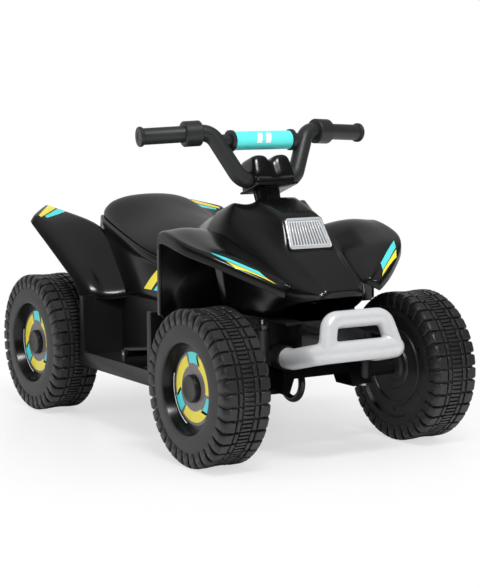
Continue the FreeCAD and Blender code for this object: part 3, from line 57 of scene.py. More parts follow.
# Kids quad bike. Sizes are in millimetres until a piece is finished, in the part's own frame:
# the front faces -Y, the rider's left is +X, +Z is up, and the origin is on the ground.
MM = 0.001
FRONT_Y = -220.5          # front axle line
REAR_Y = 239.5            # rear axle line
AXLE_Z = 100.0
WHEEL_X = 160.0           # middle plane of a wheel
TUB_FRONT_Y = -82.5       # front end of the upper body
SIDES = (("left", 1), ("right", -1))
SHELL_WALL = 3.0
SEAM = 0.3                # gap where two shells meet
FILM = 0.25               # thickness of a sticker's film

# Meshing; angles are in degrees
WELD = 0.002              # points of a CAD mesh this close are joined
TURN_WELD = 0.001         # the same in a turned shape
FLAT_ANGLE = 1.0          # faces of a CAD mesh within this angle become one
SHARP_ANGLE = 35.0        # edges above it are shaded sharp
MOULD_ANGLE = 32.0        # the same on a moulding, where they are rounded too
CRISP_ANGLE = 30.0        # the same on the lamp and the neck
TREAD_ANGLE = 40.0
FUSED_ANGLE = 60.0
EDGE_SEGMENTS = 2
BAR_SIDES = 28
BEND_STEPS = 4            # fewest steps round a bend
BEND_STEP = 6.0
ARC_STEPS = 8             # fewest steps of a printed arc
ARC_STEP = 5.0
TURN_STEPS = 48           # steps round a cap, a grip or the sleeve
FULL_TURN = 360.0
SMOOTH = 2                # subdivisions of a shell
SMOOTHER = 3              # subdivisions of a shell with tight curves

# Weights of the shells' creases
CREASE_LINE = 0.75        # folds in the shells
SHARP_LINE = 0.7          # edges of the hood's flat top and of the band under the saddle
NOSE_LINE = 0.7           # closed ends
LIP_LINE = 0.05           # outer edge of a fender
TANK_LINE = 0.3
SADDLE_FRONT_LINE = 0.5
SADDLE_TAIL_LINE = 0.35

# Hood: stations from the front axle, each with its right half from the foot over the fender line,
# the crease and the edge of the flat top to the middle
HOOD = (
    (-67.0, ((29, 109), (33, 112.5), (29, 115), (25, 117), (0, 118))),
    (-32.0, ((59, 100), (63, 122), (38, 134), (30, 142), (0, 143))),
    (6.5, ((66, 79.3), (69, 142), (44, 158), (35, 164), (0, 165))),
    (30.0, ((68, 79.3), (74, 154), (47, 176), (29.5, 206), (0, 207))),
    (87.0, ((70, 79.3), (89, 176), (55, 209), (29, 227), (0, 228))),
    (106.0, ((70, 79.3), (94, 180), (57, 222), (28, 216), (0, 216))),
    (138.0, ((70, 79.3), (95, 172), (62, 208), (27, 212), (0, 212))),
)
FENDER_LINE = 1           # columns of a station
HOOD_CREASE = 2
HOOD_EDGE = 3
FOLDED_ROWS = (2, 3, 4)   # stations with a fold across the flat top
RIDGE_ROW = 5             # station of the ridge before the tank

# Front fender: station of the inner edge on the hood, then the outer edge's inset, place and height
FENDER_X = 172.0          # outer line of all fenders
FRONT_FENDER = (
    (118.0, (0.0, 104.0, 188.0)),
    (106.0, (0.0, 88.0, 187.0)),
    (87.0, (0.0, 68.0, 183.5)),
    (60.0, (2.0, 40.0, 176.0)),
    (30.0, (22.0, 8.0, 165.0)),
    (6.5, (46.0, -11.0, 151.0)),
    (-15.0, (72.0, -32.0, 137.0)),
    (-31.0, (98.0, -44.0, 124.0)),
)
FRONT_LIP = 14.0
FRONT_CROWN = 5.0
FRONT_ROOT = 9.0                          # how far the inner edge lies inside the hood's skin
REAR_ROLL = (0, 2.0, -9.0)                # turned-down rear edge
REAR_LIFT = (6.0, 5.0, 2.0)               # rise of the last stations against the hood's flank
LIFT_SHARES = (1.0, 1.0, 0.8, 0.6, 0.6)   # shares of that rise from the inner edge outwards

# Rear fender: inner edge, then the outer edge's inset, place and height, and the crown
REAR_FENDER = (
    ((100.0, -132.0, 82.5), (12.0, -100.0, 74.0), -3.0),
    ((98.5, -116.0, 103.0), (13.0, -90.0, 92.0), -7.0),
    ((94.5, -72.0, 143.0), (8.0, -62.0, 113.0), -6.0),
    ((89.5, -29.0, 172.0), (4.0, -8.0, 147.0), -2.0),
    ((108.0, 28.0, 186.0), (1.5, 16.0, 162.0), -1.0),
    ((126.0, 80.0, 197.0), (0.0, 38.0, 176.0), 0.0),
)
REAR_LIP_W = 11.0
REAR_LIP_DROP = 8.0
REAR_LEAN = math.radians(53.0)
ROOT_DEPTH = (6.0, 7.0, 7.0, 5.0, 0.0, 0.0)   # how far the inner edge lies inside the body's skin
SKIRT_DROP = 8.0                              # the foot goes down behind the tub's rim

# Columns of both fenders, as shares of the way from the outer crease to the inner edge
ROOT_SHARE = 0.75
ROOT_RISE = 0.7           # share of the crown there
MIDDLE_SHARE = 0.4
LIP_SHARE = 0.6           # share of the way from the crease to the lip's edge
EDGE_SUPPORT = 14.0       # distance of the column beside the crease
OUTER_CREASE = 4          # column of the crease

# Wall behind a front wheel and the flange along its outer edge
GUARD_Y = 101.0
GUARD_CORNERS = ((74, 76), (166, 76), (172, 82), (172, 185), (97, 178))
GUARD_EDGE = 0.8
FLANGE_LOW = (168.0, 100.0, 79.0)
FLANGE_HIGH = (171.5, 109.0, 174.0)
FLANGE_EDGE = 1.7

# Upper body: stations from the rear axle, half width at the foot, half width and height of the lip
BODY = (
    (TUB_FRONT_Y - REAR_Y, 100.0, 95.0, 155.0),
    (-230.0, 100.0, 74.0, 129.0),
    (-180.0, 100.0, 92.0, 142.0),
    (-130.0, 100.0, 93.0, 156.0),
    (-80.0, 100.0, 92.0, 170.0),
    (-30.0, 93.0, 88.0, 184.0),
    (-15.0, 87.0, 80.0, 187.0),
    (34.0, 64.0, 58.0, 105.0),
)
SHELL_FOOT = 79.3
PANEL_MIDDLE = 0.45       # share of the way up to a panel's middle row
LIP_BAND = 12.0           # height of the raised band under the saddle
BAND_SHARE = 0.4          # largest share of a panel's height for the band
BAND_GROOVE = 0.4
BAND_RAMP = 1.0
BAND_COLUMNS = (2, 3)
LIP_PROUD = 1.6
LIP_ROUND = 1.5
DECK_EDGE = 9.0
DECK_DROP = 2.0           # deck under the saddle, below the lip

# Tank cover: share of the way from the body's first to its second station, and its right half
TANK = (
    (0.0, ((94, 168), (62, 204), (28, 211), (0, 212))),
    (0.2, ((89, 164), (60, 202), (28, 210), (0, 211))),
    (0.8, ((78, 148), (54, 187), (25, 194), (0, 195))),
    (1.0, ((73, 140), (54, 162), (25, 166), (0, 167))),
)

# Saddle over the body's inner stations
SADDLE_CROWN = (22.0, 28.0, 29.0, 28.0, 33.0, 28.0)
SADDLE_SHOULDER = (0.4, 0.36, 0.34, 0.36, 0.6, 0.66)   # share of the crown near the side
SADDLE_TOP = (0.8, 0.78, 0.76, 0.78, 0.92, 0.93)       # share of the crown halfway to the middle
SADDLE_INSET = 4.0
SADDLE_PARTS = 3          # the side's lower row is at one of so many parts of the shoulder's height
SADDLE_SIDE = 0.86        # places of the shoulder and of the halfway row, as shares of the half width
SADDLE_MIDWAY = 0.5

# Wheels: a spun drum with moulded tread blocks; X runs outwards along the axle
TREAD_R = 100.0
DRUM_R = 96.4
DRUM_STEPS = 144
LUGS = 36
DISH_FLOOR = 20.0
BACK_FLOOR = -28.0        # plain inner side of a wheel
DRUM_PROFILE = (
    (DISH_FLOOR, 6.1), (DISH_FLOOR, 54.0), (DISH_FLOOR + 1.0, 55.2), (32.0, 57.8), (33.4, 58.6), (33.8, 60.5),
    (33.6, 68.0), (33.0, 75.5), (32.3, 82.0), (31.5, 88.0), (29.8, 93.5), (26.5, DRUM_R), (15.0, DRUM_R),
    (-15.0, DRUM_R), (-26.5, DRUM_R), (-29.8, 93.5), (-31.5, 88.0), (-32.3, 82.0), (-33.0, 75.5),
    (-33.6, 72.5), (-33.2, 70.0), (-29.0, 67.5), (BACK_FLOOR, 64.0), (BACK_FLOOR, 53.0), (-29.8, 52.0),
    (-29.8, 48.0), (BACK_FLOOR, 47.0), (BACK_FLOOR, 30.0), (-30.5, 28.5), (-30.5, 21.0), (-33.0, 18.5),
    (-34.0, 17.0), (-34.0, 6.1),
)
# Blocks on both sides of the tread: inner and outer end, top radius and share of the pitch
SIDE_BLOCKS = ((8.8, 14.2, 99.4, 0.84), (16.4, 29.0, TREAD_R, 0.82))
BLOCK_ROOT = 3.0          # depth of a block inside the drum
BLOCK_EDGE = 0.9
RIBS = 3                  # ribs along the middle of the tread, per pitch
RIB_HALF = 7.4
RIB_TOP = 98.9
RIB_SHARE = 0.105
RIB_EDGE = 0.5
LUG_OUTLINE = (           # lug over the shoulder: place along the axle and radius
    (28.0, 99.9), (31.0, 98.2), (33.4, 93.5), (34.0, 87.0),
    (33.6, 80.5), (31.0, 79.0), (27.0, 82.0), (26.0, 93.0),
)
LUG_SHARE = 0.34
LUG_EDGE = 0.8
BACK_SCREWS = 6
SCREW_PLACE = 58.5
SCREW_R = 2.0
SCREW_H = 1.0
SCREW_SIDES = 16
CAP_PROFILE = (
    (DISH_FLOOR, 17.5), (DISH_FLOOR + 6.0, 17.5), (DISH_FLOOR + 7.6, 16.4), (DISH_FLOOR + 8.0, 14.5),
    (DISH_FLOOR + 7.2, 12.0), (DISH_FLOOR + 7.2, 0.0),
)

# Film in the dish, printed, and painted shade where it lines the dish's wall: film, two points of (place
# along the axle, radius), start and end angle
DISC_FILMS = ("black", "grey", "yellow", "turquoise", "white")
DISC_X = DISH_FLOOR + FILM
PRINT_X = DISC_X + FILM
DISC_RINGS = (
    ("black", (DISC_X, 46.5), (DISC_X, 53.8), 0.0, FULL_TURN),
    # Black up the dish's wall: painted shade of the recess
    ("black", (DISC_X, 53.8), (31.8, 57.3), 0.0, FULL_TURN),
    ("grey", (DISC_X, 18.0), (DISC_X, 46.5), 0.0, FULL_TURN),
    ("white", (PRINT_X, 49.0), (PRINT_X, 50.8), 200.0, 285.0),
)
BANDS = 3                 # repeats of the two coloured arcs round a disc
BAND_TURN = 25.0          # first arc from the top
BAND_ARCS = (             # film, inner and outer radius, start and end angle
    ("yellow", 29.0, 43.0, 0.0, 72.0),
    ("turquoise", 32.0, 46.0, 78.0, 106.0),
)
BAND_TIPS = (             # film, angle and corners of an arc's slanted end
    ("yellow", 0.0, ((0.0, 29.0), (0.0, 43.0), (13.0, 42.0))),
    ("turquoise", 106.0, ((0.0, 32.0), (0.0, 46.0), (-9.0, 31.5))),
)

# Column head and handlebar, in the column's own frame with Z up the column
COLUMN_FOOT = (0, 109.0, 222.6)
RAKE = math.radians(19.3)
BAR_Y = -9.5
BAR_R = 11.25
BAR_BEND = 22.0
BAR_LOW = (42.0, BAR_Y, 25.0)
BAR_HIGH = (76.0, BAR_Y, 93.0)
GRIP_END = Vector((176.0, 7.0, 94.0))
GRIP_L = 86.0
GRIP_PROFILE = (
    (0, 8.0), (0, 15.6), (1.4, 17.0), (22.6, 17.0), (24.0, 15.6), (24.0, 11.4), (25.5, 11.0),
    (GRIP_L - 5.8, 11.0), (GRIP_L - 5.0, 12.6), (GRIP_L - 4.0, 13.25), (GRIP_L - 1.0, 13.25),
    (GRIP_L, 12.4), (GRIP_L, 6.0), (GRIP_L - 0.6, 5.4), (GRIP_L - 0.6, 0.0),
)
CROSSBAR_Z = 80.7
CROSSBAR_END = 71.0
CROSSBAR_R = 9.0
COLLAR_PROFILE = (
    (0, CROSSBAR_R), (0, 13.6), (0.9, 14.5), (5.1, 14.5), (6.0, 13.6), (6.0, CROSSBAR_R),
)
COLLAR_STEPS = 36
SLEEVE_HALF = 44.9
SLEEVE_R = 12.5
SLEEVE_BORE = 9.2
SLEEVE_EDGE = 0.6
NECK_SIDES = 72
NECK_FOOT_R = 17.0
NECK_TOP_R = 18.0
NECK_H = 17.5
NECK_MIDDLE = 6.25
FLUTE_PITCH = 30.0
FLUTE_START = 7.0
FLUTE_END = 23.0
FLUTE_FLOOR = 0.9         # share of the neck's radius in a flute
BASE_LOW = (-33.0, -31.0, 12.5)
BASE_HIGH = (33.0, 15.0, 15.6)
BASE_EDGE = 1.5
# Sections across the clamp's cover: place, height of its top and half its depth at the top
CLAMP_LOBES = (
    (0.0, 50.0, 17.0), (4.5, 51.0, 18.0), (8.5, 56.5, 21.0), (23.5, 57.0, 21.0), (29.0, 53.0, 18.0),
    (30.0, 42.0, 16.0),
)
CLAMP_MIDDLE = -8.0
CLAMP_FOOT = 15.5
CLAMP_FLARE = 1.12        # growth of the cover from its top to its foot
CLAMP_WAIST = 1.04        # growth halfway down
CLAMP_BULGE = 1.0
CLAMP_SKIRT = 2.0
CLAMP_ROUND = 4.0
PLINTH_LOW = (-30.0, -29.0, 14.5)
PLINTH_HIGH = (30.0, 13.0, 24.0)
PLINTH_EDGE = 3.0
PLINTH_SEGMENTS = 3

# Bumper: points from the front axle on the left side
BUMPER_BAR_Y = -105.5
BUMPER_RAIL = ((64.0, -20.0, 33.0), (64.0, -49.0, 33.0), (58.0, BUMPER_BAR_Y, 47.0))
BUMPER_R = 13.4
RAIL_BEND = 18.0
BUMPER_HOOP = ((52.0, BUMPER_BAR_Y, 47.0), (41.0, BUMPER_BAR_Y + 10.0, 86.0))
HOOP_R = 11.2
HOOP_BEND = 14.0
BUMPER_STAY = ((46.0, BUMPER_BAR_Y + 12.0, 68.0), (46.0, -45.0, 68.0))
STAY_R = 7.0
FUSE_VOXEL = 1.8
EASE_FACTOR = 0.5
EASE_ROUNDS = 6

# Headlight on the hood's sloping face, in its own frame: X across, Y down the face, Z out of it
LAMP_TOP = (0, 29.0, 204.2)
LAMP_FOOT = (0, 5.5, 162.2)
LAMP_CORNERS = ((-28, -22), (28, -22), (33, 22), (-33, 22))
LAMP_HIGH = 4.0           # front of the silver frame above the hood's face
# Plates: growth across and down, shift down, corner radius, back and front
HOUSING_PLATE = (1.05, 1.1, 0.6, 4.0, -5.0, LAMP_HIGH - 0.8)
FRAME_PLATE = (1.0, 1.0, 0.0, 4.5, -2.0, LAMP_HIGH)
LENS_PLATE = (0.89, 0.86, 0.0, 2.0, 0.8, 1.8)
HOUSING_INSETS = ((4.0, 0.0),)             # width and depth of each step towards the lens
FRAME_INSETS = ((3.2, 0.0), (0.6, -2.4))
HOUSING_SOFT = 1.6
FRAME_SOFT = 0.8
SOFT_SEGMENTS = 3
CORNER_SEGMENTS = 4
LENS_HALF_H = 18.0
LENS_FLOOR = 1.0
LENS_RIBS = 13
LENS_RIB_LOW = (-1.0, -LENS_HALF_H, LENS_FLOOR)
LENS_RIB_HIGH = (1.0, LENS_HALF_H, 3.2)
LENS_RIB_EDGE = 0.8
LENS_SPREAD = 25.6        # place of the outermost rib
LENS_TAPER = 2.3          # its shift towards the wider foot
LENS_BAR_HALF = 26.0      # bars across the ends of the ribs
LENS_BAR_W = 1.0
LENS_BAR_TOP = 3.0
LENS_BAR_EDGE = 0.7

# Stickers: on the fenders by station and share of the width, on the panels by Y and height over the axle
FACING_LIMIT = 0.25       # a sticker leaves out faces that turn further from its direction
FENDER_STRIPES = (
    ("turquoise", ((3.7, 0.86), (5.6, 0.64), (6.1, 0.76), (4.3, 0.9))),
    ("yellow", ((4.45, 0.92), (6.15, 0.78), (6.6, 0.9), (5.0, 0.99))),
)
FENDER_VIEW = (0, 0, 1)
FENDER_FACING = (0, -0.3, 0.95)
TIP_STRIPES = (
    ("yellow", ((4.6, -0.1), (4.92, -0.1), (4.76, 0.85), (4.58, 0.85))),
    ("turquoise", ((4.2, -0.1), (4.54, -0.1), (4.52, 0.7), (4.36, 0.7))),
)
TIP_VIEW = (0, -0.6, 0.8)
PANEL_SLASHES = (
    ("turquoise", ((20, 92), (34, 92), (12, 122), (2, 122))),
    ("yellow", ((40, 92), (60, 92), (34, 128), (18, 128))),
)
PANEL_X = 100.0
PANEL_VIEW = (1, 0, 0)
PANEL_TILT = 0.2
SLEEVE_BARS = (-9.0, 5.0)
SLEEVE_BAR = ((-5, -7), (3, -7), (6, 7), (-2, 7))

# CAD pieces shown with rounded edges: node, body and radius
MOULDINGS = (
    ("lower_chassis", "chassis", 1.2), ("front_axle_beam", "chassis", 1.5),
    ("knuckle_left", "knuckle_left", 1.2), ("knuckle_right", "knuckle_right", 1.2),
    ("steering_link", "steering_link", 0.8), ("accelerator_pedal", "accelerator_pedal", 1.0),
    ("gearbox_case_inner", "chassis", 1.0), ("gearbox_case_outer", "chassis", 1.0),
    ("battery", "chassis", 2.0),
)

# Stage, in metres: pale floor, white surroundings and soft lamps
WHITE = (1, 1, 1, 1)
FLOOR_HALF = 6.0
FLOOR_COLOUR = "#F4F4F4"
FLOOR_ROUGHNESS = 0.35
FLOOR_SPECULAR = 0.25
# Share of plain white in the floor by distance from the middle, and brightness of the room in reflections
# by direction to the back and upwards
FLOOR_FADE = {"From Min": 0.2, "From Max": 0.62, "To Min": 0.6, "To Max": 1.0}
BACK_GLOW = {"From Min": 0.2, "From Max": 1.0, "To Min": 0.07, "To Max": 0.8}
TOP_GLOW = {"From Min": 0.45, "From Max": 1.0, "To Min": 0.05, "To Max": 0.4}
ROOM_LIGHT = 0.62         # light on the part from all round
# Lamps: name, place, width, length, watts, aim and whether they show in reflections
LAMPS = (
    ("strip_front", (-0.4, -1.4, 2.1), 0.9, 0.3, 30.0, (0, 0, 0.15), True),
    ("softbox_left", (1.9, -1.2, 1.3), 1.0, 1.0, 12.0, (0, 0, 0.2), False),
    ("softbox_right", (-2.0, 0.3, 1.0), 0.8, 0.8, 8.0, (0, 0, 0.2), False),
)

# Camera fitted to the photo
CAMERA_PLACE = Vector((-1.1933, -1.9713, 0.4677))
CAMERA_YAW = math.radians(-31.7)
CAMERA_PITCH = math.radians(7.01)
CAMERA_ROLL = math.radians(-0.2)
FOCAL_PX = 1645.9
IMAGE_H = 587
SENSOR = 36.0
CLIP_START = 0.05

# Finishes: patches of two close colours, uneven gloss and a fine grain; sRGB curve
PATCH_MM = 40.0
PATCH_DETAIL = 3.0
PATCH_RANGE = {"From Min": 0.3, "From Max": 0.7}
GRAIN_DETAIL = 2.0
GLOSS_SPREAD = 0.08
SRGB_TOE = 0.04045
SRGB_SLOPE = 12.92
SRGB_SHIFT = 0.055
SRGB_POWER = 2.4


def front(x, y, z):
    """A point measured from the front axle line."""
    return Vector((x, FRONT_Y + y, AXLE_Z + z))


def rear(x, y, z):
    """A point measured from the rear axle line."""
    return Vector((x, REAR_Y + y, AXLE_Z + z))


def lamp_frame():
    """The lamp's own frame, from the ends of the hood's sloping face."""
    top, foot = front(*LAMP_TOP), front(*LAMP_FOOT)
    down = (foot - top).normalized()
    out = down.cross(Vector((1, 0, 0)))
    turn = Matrix((Vector((1, 0, 0)), down, out)).transposed().to_4x4()
    return Matrix.Translation((top + foot) / 2) @ turn


COLUMN = Matrix.Translation(front(*COLUMN_FOOT)) @ Matrix.Rotation(-RAKE, 4, "X")
GRIP_OUT = (GRIP_END - Vector(BAR_HIGH)).normalized()
GRIP_START = GRIP_END - GRIP_OUT * GRIP_L
LAMP_FRAME = lamp_frame()


# Materials

def linear(hexcode):
    """An sRGB hex colour as linear RGBA."""
    parts = [int(hexcode[i:i + 2], 16) / 255 for i in (1, 3, 5)]
    return [c / SRGB_SLOPE if c <= SRGB_TOE else ((c + SRGB_SHIFT) / (1 + SRGB_SHIFT)) ** SRGB_POWER
            for c in parts] + [1.0]


def node(tree, kind, links=None, **settings):
    """Adds a node with its settings; links holds sockets to join or values to set."""
    made = tree.nodes.new(kind)
    for key, value in settings.items():
        setattr(made, key, value)
    for key, value in (links or {}).items():
        if isinstance(value, bpy.types.NodeSocket):
            tree.links.new(value, made.inputs[key])
        else:
            made.inputs[key].default_value = value
    return made


def surface(name, colour, shade, roughness, grain_mm, grain_depth, patch_mm=PATCH_MM, spread=GLOSS_SPREAD,
            **sockets):
    """A moulded, painted or plated finish; further sockets of the shader are set by name."""
    material = bpy.data.materials.new(name)
    material.use_nodes = True
    tree = material.node_tree
    shader = tree.nodes["Principled BSDF"]
    place = node(tree, "ShaderNodeTexCoord").outputs["Object"]
    patches = node(tree, "ShaderNodeTexNoise",
                   {"Vector": place, "Scale": 1 / (patch_mm * MM), "Detail": PATCH_DETAIL}).outputs["Fac"]
    colours = node(tree, "ShaderNodeMix", {"Factor": patches, "A": linear(colour), "B": linear(shade)},
                   data_type="RGBA")
    gloss = node(tree, "ShaderNodeMapRange",
                 {"Value": patches, **PATCH_RANGE, "To Min": roughness * (1 - spread),
                  "To Max": roughness * (1 + spread)})
    grain = node(tree, "ShaderNodeTexNoise",
                 {"Vector": place, "Scale": 1 / (grain_mm * MM), "Detail": GRAIN_DETAIL}).outputs["Fac"]
    bump = node(tree, "ShaderNodeBump", {"Height": grain, "Strength": 1.0, "Distance": grain_depth * MM})
    tree.links.new(colours.outputs["Result"], shader.inputs["Base Color"])
    tree.links.new(gloss.outputs["Result"], shader.inputs["Roughness"])
    tree.links.new(bump.outputs["Normal"], shader.inputs["Normal"])
    for key, value in sockets.items():
        shader.inputs[key].default_value = value
    return material


# Name, two colours, roughness, size and depth of the grain.
# Moulded ABS from a polished tool: black, with sharp reflections and the slow waviness of thin shells.
BODY_ABS = surface("gloss_black_abs", "#0B0B0C", "#0E0E0F", 0.2, 26.0, 0.02, IOR=1.5)
# Polypropylene from a spark-eroded tool: black, soft highlights, a grain drawn at 1.5 mm so that it shows.
CHASSIS_PP = surface("satin_black_polypropylene", "#111112", "#161617", 0.38, 1.5, 0.012, IOR=1.49)
# Saddle of the same ABS from a matted tool: broad soft highlights.
SADDLE_ABS = surface("satin_black_abs", "#0E0E0F", "#121213", 0.36, 1.8, 0.012, IOR=1.5)
# Blow-moulded polyethylene wheels: charcoal, waxy and a little blotchy.
WHEEL_PE = surface("charcoal_polyethylene", "#1D1D1E", "#252526", 0.42, 2.2, 0.03, patch_mm=25.0, IOR=1.5)
# Handlebar and grips: dark grey polypropylene with an even matt grain.
BAR_PP = surface("dark_grey_polypropylene", "#232425", "#292A2B", 0.44, 1.4, 0.02, IOR=1.49)
# Bumper: silver-grey coloured polypropylene with a fine flake, satin.
BUMPER_PP = surface("silver_polypropylene", "#CFD0D2", "#D9DADC", 0.3, 1.2, 0.006, patch_mm=6.0,
                    Metallic=0.2, IOR=1.5)
# Crossbar sleeve: turquoise EVA foam skin, soft sheen.
SLEEVE_EVA = surface("turquoise_eva", "#5CEBE8", "#66F0EC", 0.42, 1.6, 0.015, IOR=1.48)
# Zinc-plated steel: bright with a cool fine mottling.
ZINC = surface("zinc_plated_steel", "#B9BCC0", "#A4A8AD", 0.28, 1.2, 0.01, patch_mm=5.0, spread=0.3,
               Metallic=1.0)
# Steering rod: black gloss paint on drawn steel; also the wheels' screw heads, there painted shade of their
# holes.
ROD_PAINT = surface("black_painted_steel", "#0D0D0E", "#111112", 0.24, 3.0, 0.01, IOR=1.5)
# Nylon bushes and gears: cream white and waxy.
NYLON = surface("natural_nylon", "#E4E0D2", "#DAD6C6", 0.45, 1.5, 0.01, IOR=1.53)
# Motor can: dull zinc-phosphated steel.
MOTOR_STEEL = surface("phosphated_steel", "#8A8C8F", "#77797C", 0.42, 1.5, 0.01, Metallic=0.9)
# Battery case: dark grey ABS, matt.
BATTERY_ABS = surface("dark_grey_abs", "#3A3B3D", "#404143", 0.5, 1.5, 0.015, IOR=1.5)
# Hub caps: dark grey ABS, satin.
CAP_ABS = surface("grey_abs", "#1C1C1E", "#232325", 0.4, 1.6, 0.012, IOR=1.5)
# Headlight frame: silver-lacquered ABS.
BEZEL_ABS = surface("silver_lacquered_abs", "#C9CBCE", "#D6D8DA", 0.22, 1.6, 0.006, Metallic=0.35, IOR=1.5)
# Headlight lens: clear polystyrene ribs, pale and bright, over a plate of painted shade.
LENS_PS = surface("clear_polystyrene_lens", "#CDCFD1", "#D8DADC", 0.14, 3.0, 0.01, patch_mm=8.0, IOR=1.59)
# Plate behind the lens's ribs: mid grey, painted shade for the dark gaps between them.
LENS_PAINTED_SHADE = surface("painted_shade_between_lens_ribs", "#65676A", "#727477", 0.3, 2.0, 0.01, patch_mm=6.0, IOR=1.5)
# Stickers: printed vinyl film under a clear layer, smooth and evenly coloured.
VINYL = {
    film: surface(film + "_vinyl", colour, shade, roughness, 12.0, 0.01, IOR=1.5)
    for film, colour, shade, roughness in (
        ("turquoise", "#4FD9DC", "#57DFE1", 0.2), ("yellow", "#EEDC3C", "#F3E348", 0.2),
        ("white", "#F0F0EE", "#F6F6F4", 0.2), ("grey", "#6E6A6C", "#747072", 0.25),
        ("black", "#0C0C0D", "#0F0F10", 0.22),
    )
}
# Finish of each material slot in the record, for CAD pieces that stay as they are
FINISHES = {
    "bright_steel": ZINC, "black_rod": ROD_PAINT, "natural_nylon": NYLON, "white_gear": NYLON,
    "motor_can": MOTOR_STEEL, "battery_case": BATTERY_ABS, "satin_black_chassis": CHASSIS_PP,
    "gloss_black_shell": BODY_ABS, "turquoise_pad": SLEEVE_EVA, "grey_cap": CAP_ABS,
    "silver_bezel": BEZEL_ABS, "clear_lens": LENS_PS, "silver_bumper": BUMPER_PP, "matte_grey_bar": BAR_PP,
    "matte_grey_grip": BAR_PP, "charcoal_wheel": WHEEL_PE, "satin_black_seat": SADDLE_ABS,
}


def dress_cad():
    for name, item in nodes.items():
        item.data.materials.clear()
        item.data.materials.append(FINISHES[slot_of[name]])


# Mesh helpers

def of_kind(parts, kind):
    return [part for part in parts if isinstance(part, kind)]


def edges_of(verts):
    return list(dict.fromkeys(edge for vert in verts for edge in vert.link_edges))


def verts_of(parts):
    return list(dict.fromkeys(vert for part in parts for vert in part.verts))


def everything(bm):
    return bm.verts[:] + bm.edges[:] + bm.faces[:]


def scale_all(bm, factor):
    bmesh.ops.scale(bm, vec=(factor, factor, factor), verts=bm.verts)


def put(bm, matrix):
    bmesh.ops.transform(bm, matrix=matrix, verts=bm.verts)


def flip_sides(bm):
    """Mirrors everything to the rider's other side."""
    bmesh.ops.scale(bm, vec=(-1, 1, 1), verts=bm.verts)
    bmesh.ops.reverse_faces(bm, faces=bm.faces)


def merge_in(bm, other):
    """Moves another bmesh's shape into this one."""
    mesh = bpy.data.meshes.new("merged")
    other.to_mesh(mesh)
    other.free()
    bm.from_mesh(mesh)
    bpy.data.meshes.remove(mesh)


def cad_copy(node_name):
    """A CAD piece's mesh in millimetres, with its points joined."""
    bm = bmesh.new()
    bm.from_mesh(nodes[node_name].data)
    scale_all(bm, 1 / MM)
    bmesh.ops.remove_doubles(bm, verts=bm.verts, dist=WELD)
    return bm


def cage(bm, rows):
    """A sheet of faces through rows of points, each row bridged to the next."""
    grid = [[bm.verts.new(point) for point in row] for row in rows]
    chains = [[bm.edges.new(pair) for pair in zip(row, row[1:])] for row in grid]
    for chain, after in zip(chains, chains[1:]):
        bmesh.ops.bridge_loops(bm, edges=chain + after)
    return grid


def sharpen(bm, verts, weight):
    """Creases the edges along a row of vertices, so that subdivision keeps them."""
    layer = bm.edges.layers.float.get("crease_edge") or bm.edges.layers.float.new("crease_edge")
    for pair in zip(verts, verts[1:]):
        bm.edges.get(pair)[layer] = weight


def sharpen_sides(bm, grid, column, weight):
    """Creases a column on the right side and its mirror image on the left."""
    for place in (column, -1 - column):
        sharpen(bm, [row[place] for row in grid], weight)


def close_end(bm, row, weight):
    bm.faces.new(row)
    sharpen(bm, row, weight)


def whole_row(half):
    """A full row from its right half."""
    return [(-x, z) for x, z in half] + [(x, z) for x, z in reversed(half[:-1])]


def both_sides(half):
    """A run of points on one side, and back along its mirror image on the other."""
    half = [Vector(point) for point in half]
    return half + [Vector((-point.x, point.y, point.z)) for point in reversed(half)]


def soften(bm, geom, radius, segments, affect="EDGES", clamp=False):
    """Rounds edges or corners; the new faces are given back."""
    return bmesh.ops.bevel(bm, geom=geom, offset=radius, offset_type="OFFSET", segments=segments,
                           profile=0.5, affect=affect, material=-1, clamp_overlap=clamp)["faces"]


def draw_out(bm, faces, along):
    """Draws faces out along a vector; the moved vertices and faces are given back."""
    made = bmesh.ops.extrude_face_region(bm, geom=faces)["geom"]
    far = of_kind(made, bmesh.types.BMVert)
    bmesh.ops.translate(bm, vec=along, verts=far)
    return far, of_kind(made, bmesh.types.BMFace)


def extend(bm, rim, along):
    """Draws a rim of edges out along a vector; the moved rim is given back."""
    made = bmesh.ops.extrude_edge_only(bm, edges=rim)["geom"]
    far = of_kind(made, bmesh.types.BMVert)
    bmesh.ops.translate(bm, vec=along, verts=far)
    return [edge for edge in of_kind(made, bmesh.types.BMEdge) if all(vert in far for vert in edge.verts)]


def spin(bm, geom, degrees, steps, **options):
    """Sweeps geometry about the X axis."""
    bmesh.ops.spin(bm, geom=geom, cent=(0, 0, 0), axis=(1, 0, 0), angle=math.radians(degrees), steps=steps,
                   **options)


def turned(bm, profile, steps):
    """A round shape about the X axis from a profile of (place along X, radius) points."""
    verts = [bm.verts.new((x, 0, r)) for x, r in profile]
    edges = [bm.edges.new(pair) for pair in zip(verts, verts[1:])]
    spin(bm, verts + edges, FULL_TURN, steps, use_merge=True)
    bmesh.ops.remove_doubles(bm, verts=bm.verts, dist=TURN_WELD)


def rounded_block(bm, low, high, radius, segments=EDGE_SEGMENTS):
    """A box between two corners with rounded edges; its vertices are given back."""
    low, high = Vector(low), Vector(high)
    place = Matrix.Translation((low + high) / 2) @ Matrix.Diagonal(high - low).to_4x4()
    made = bmesh.ops.create_cube(bm, size=1.0, matrix=place)
    return verts_of(soften(bm, edges_of(made["verts"]), radius, segments))


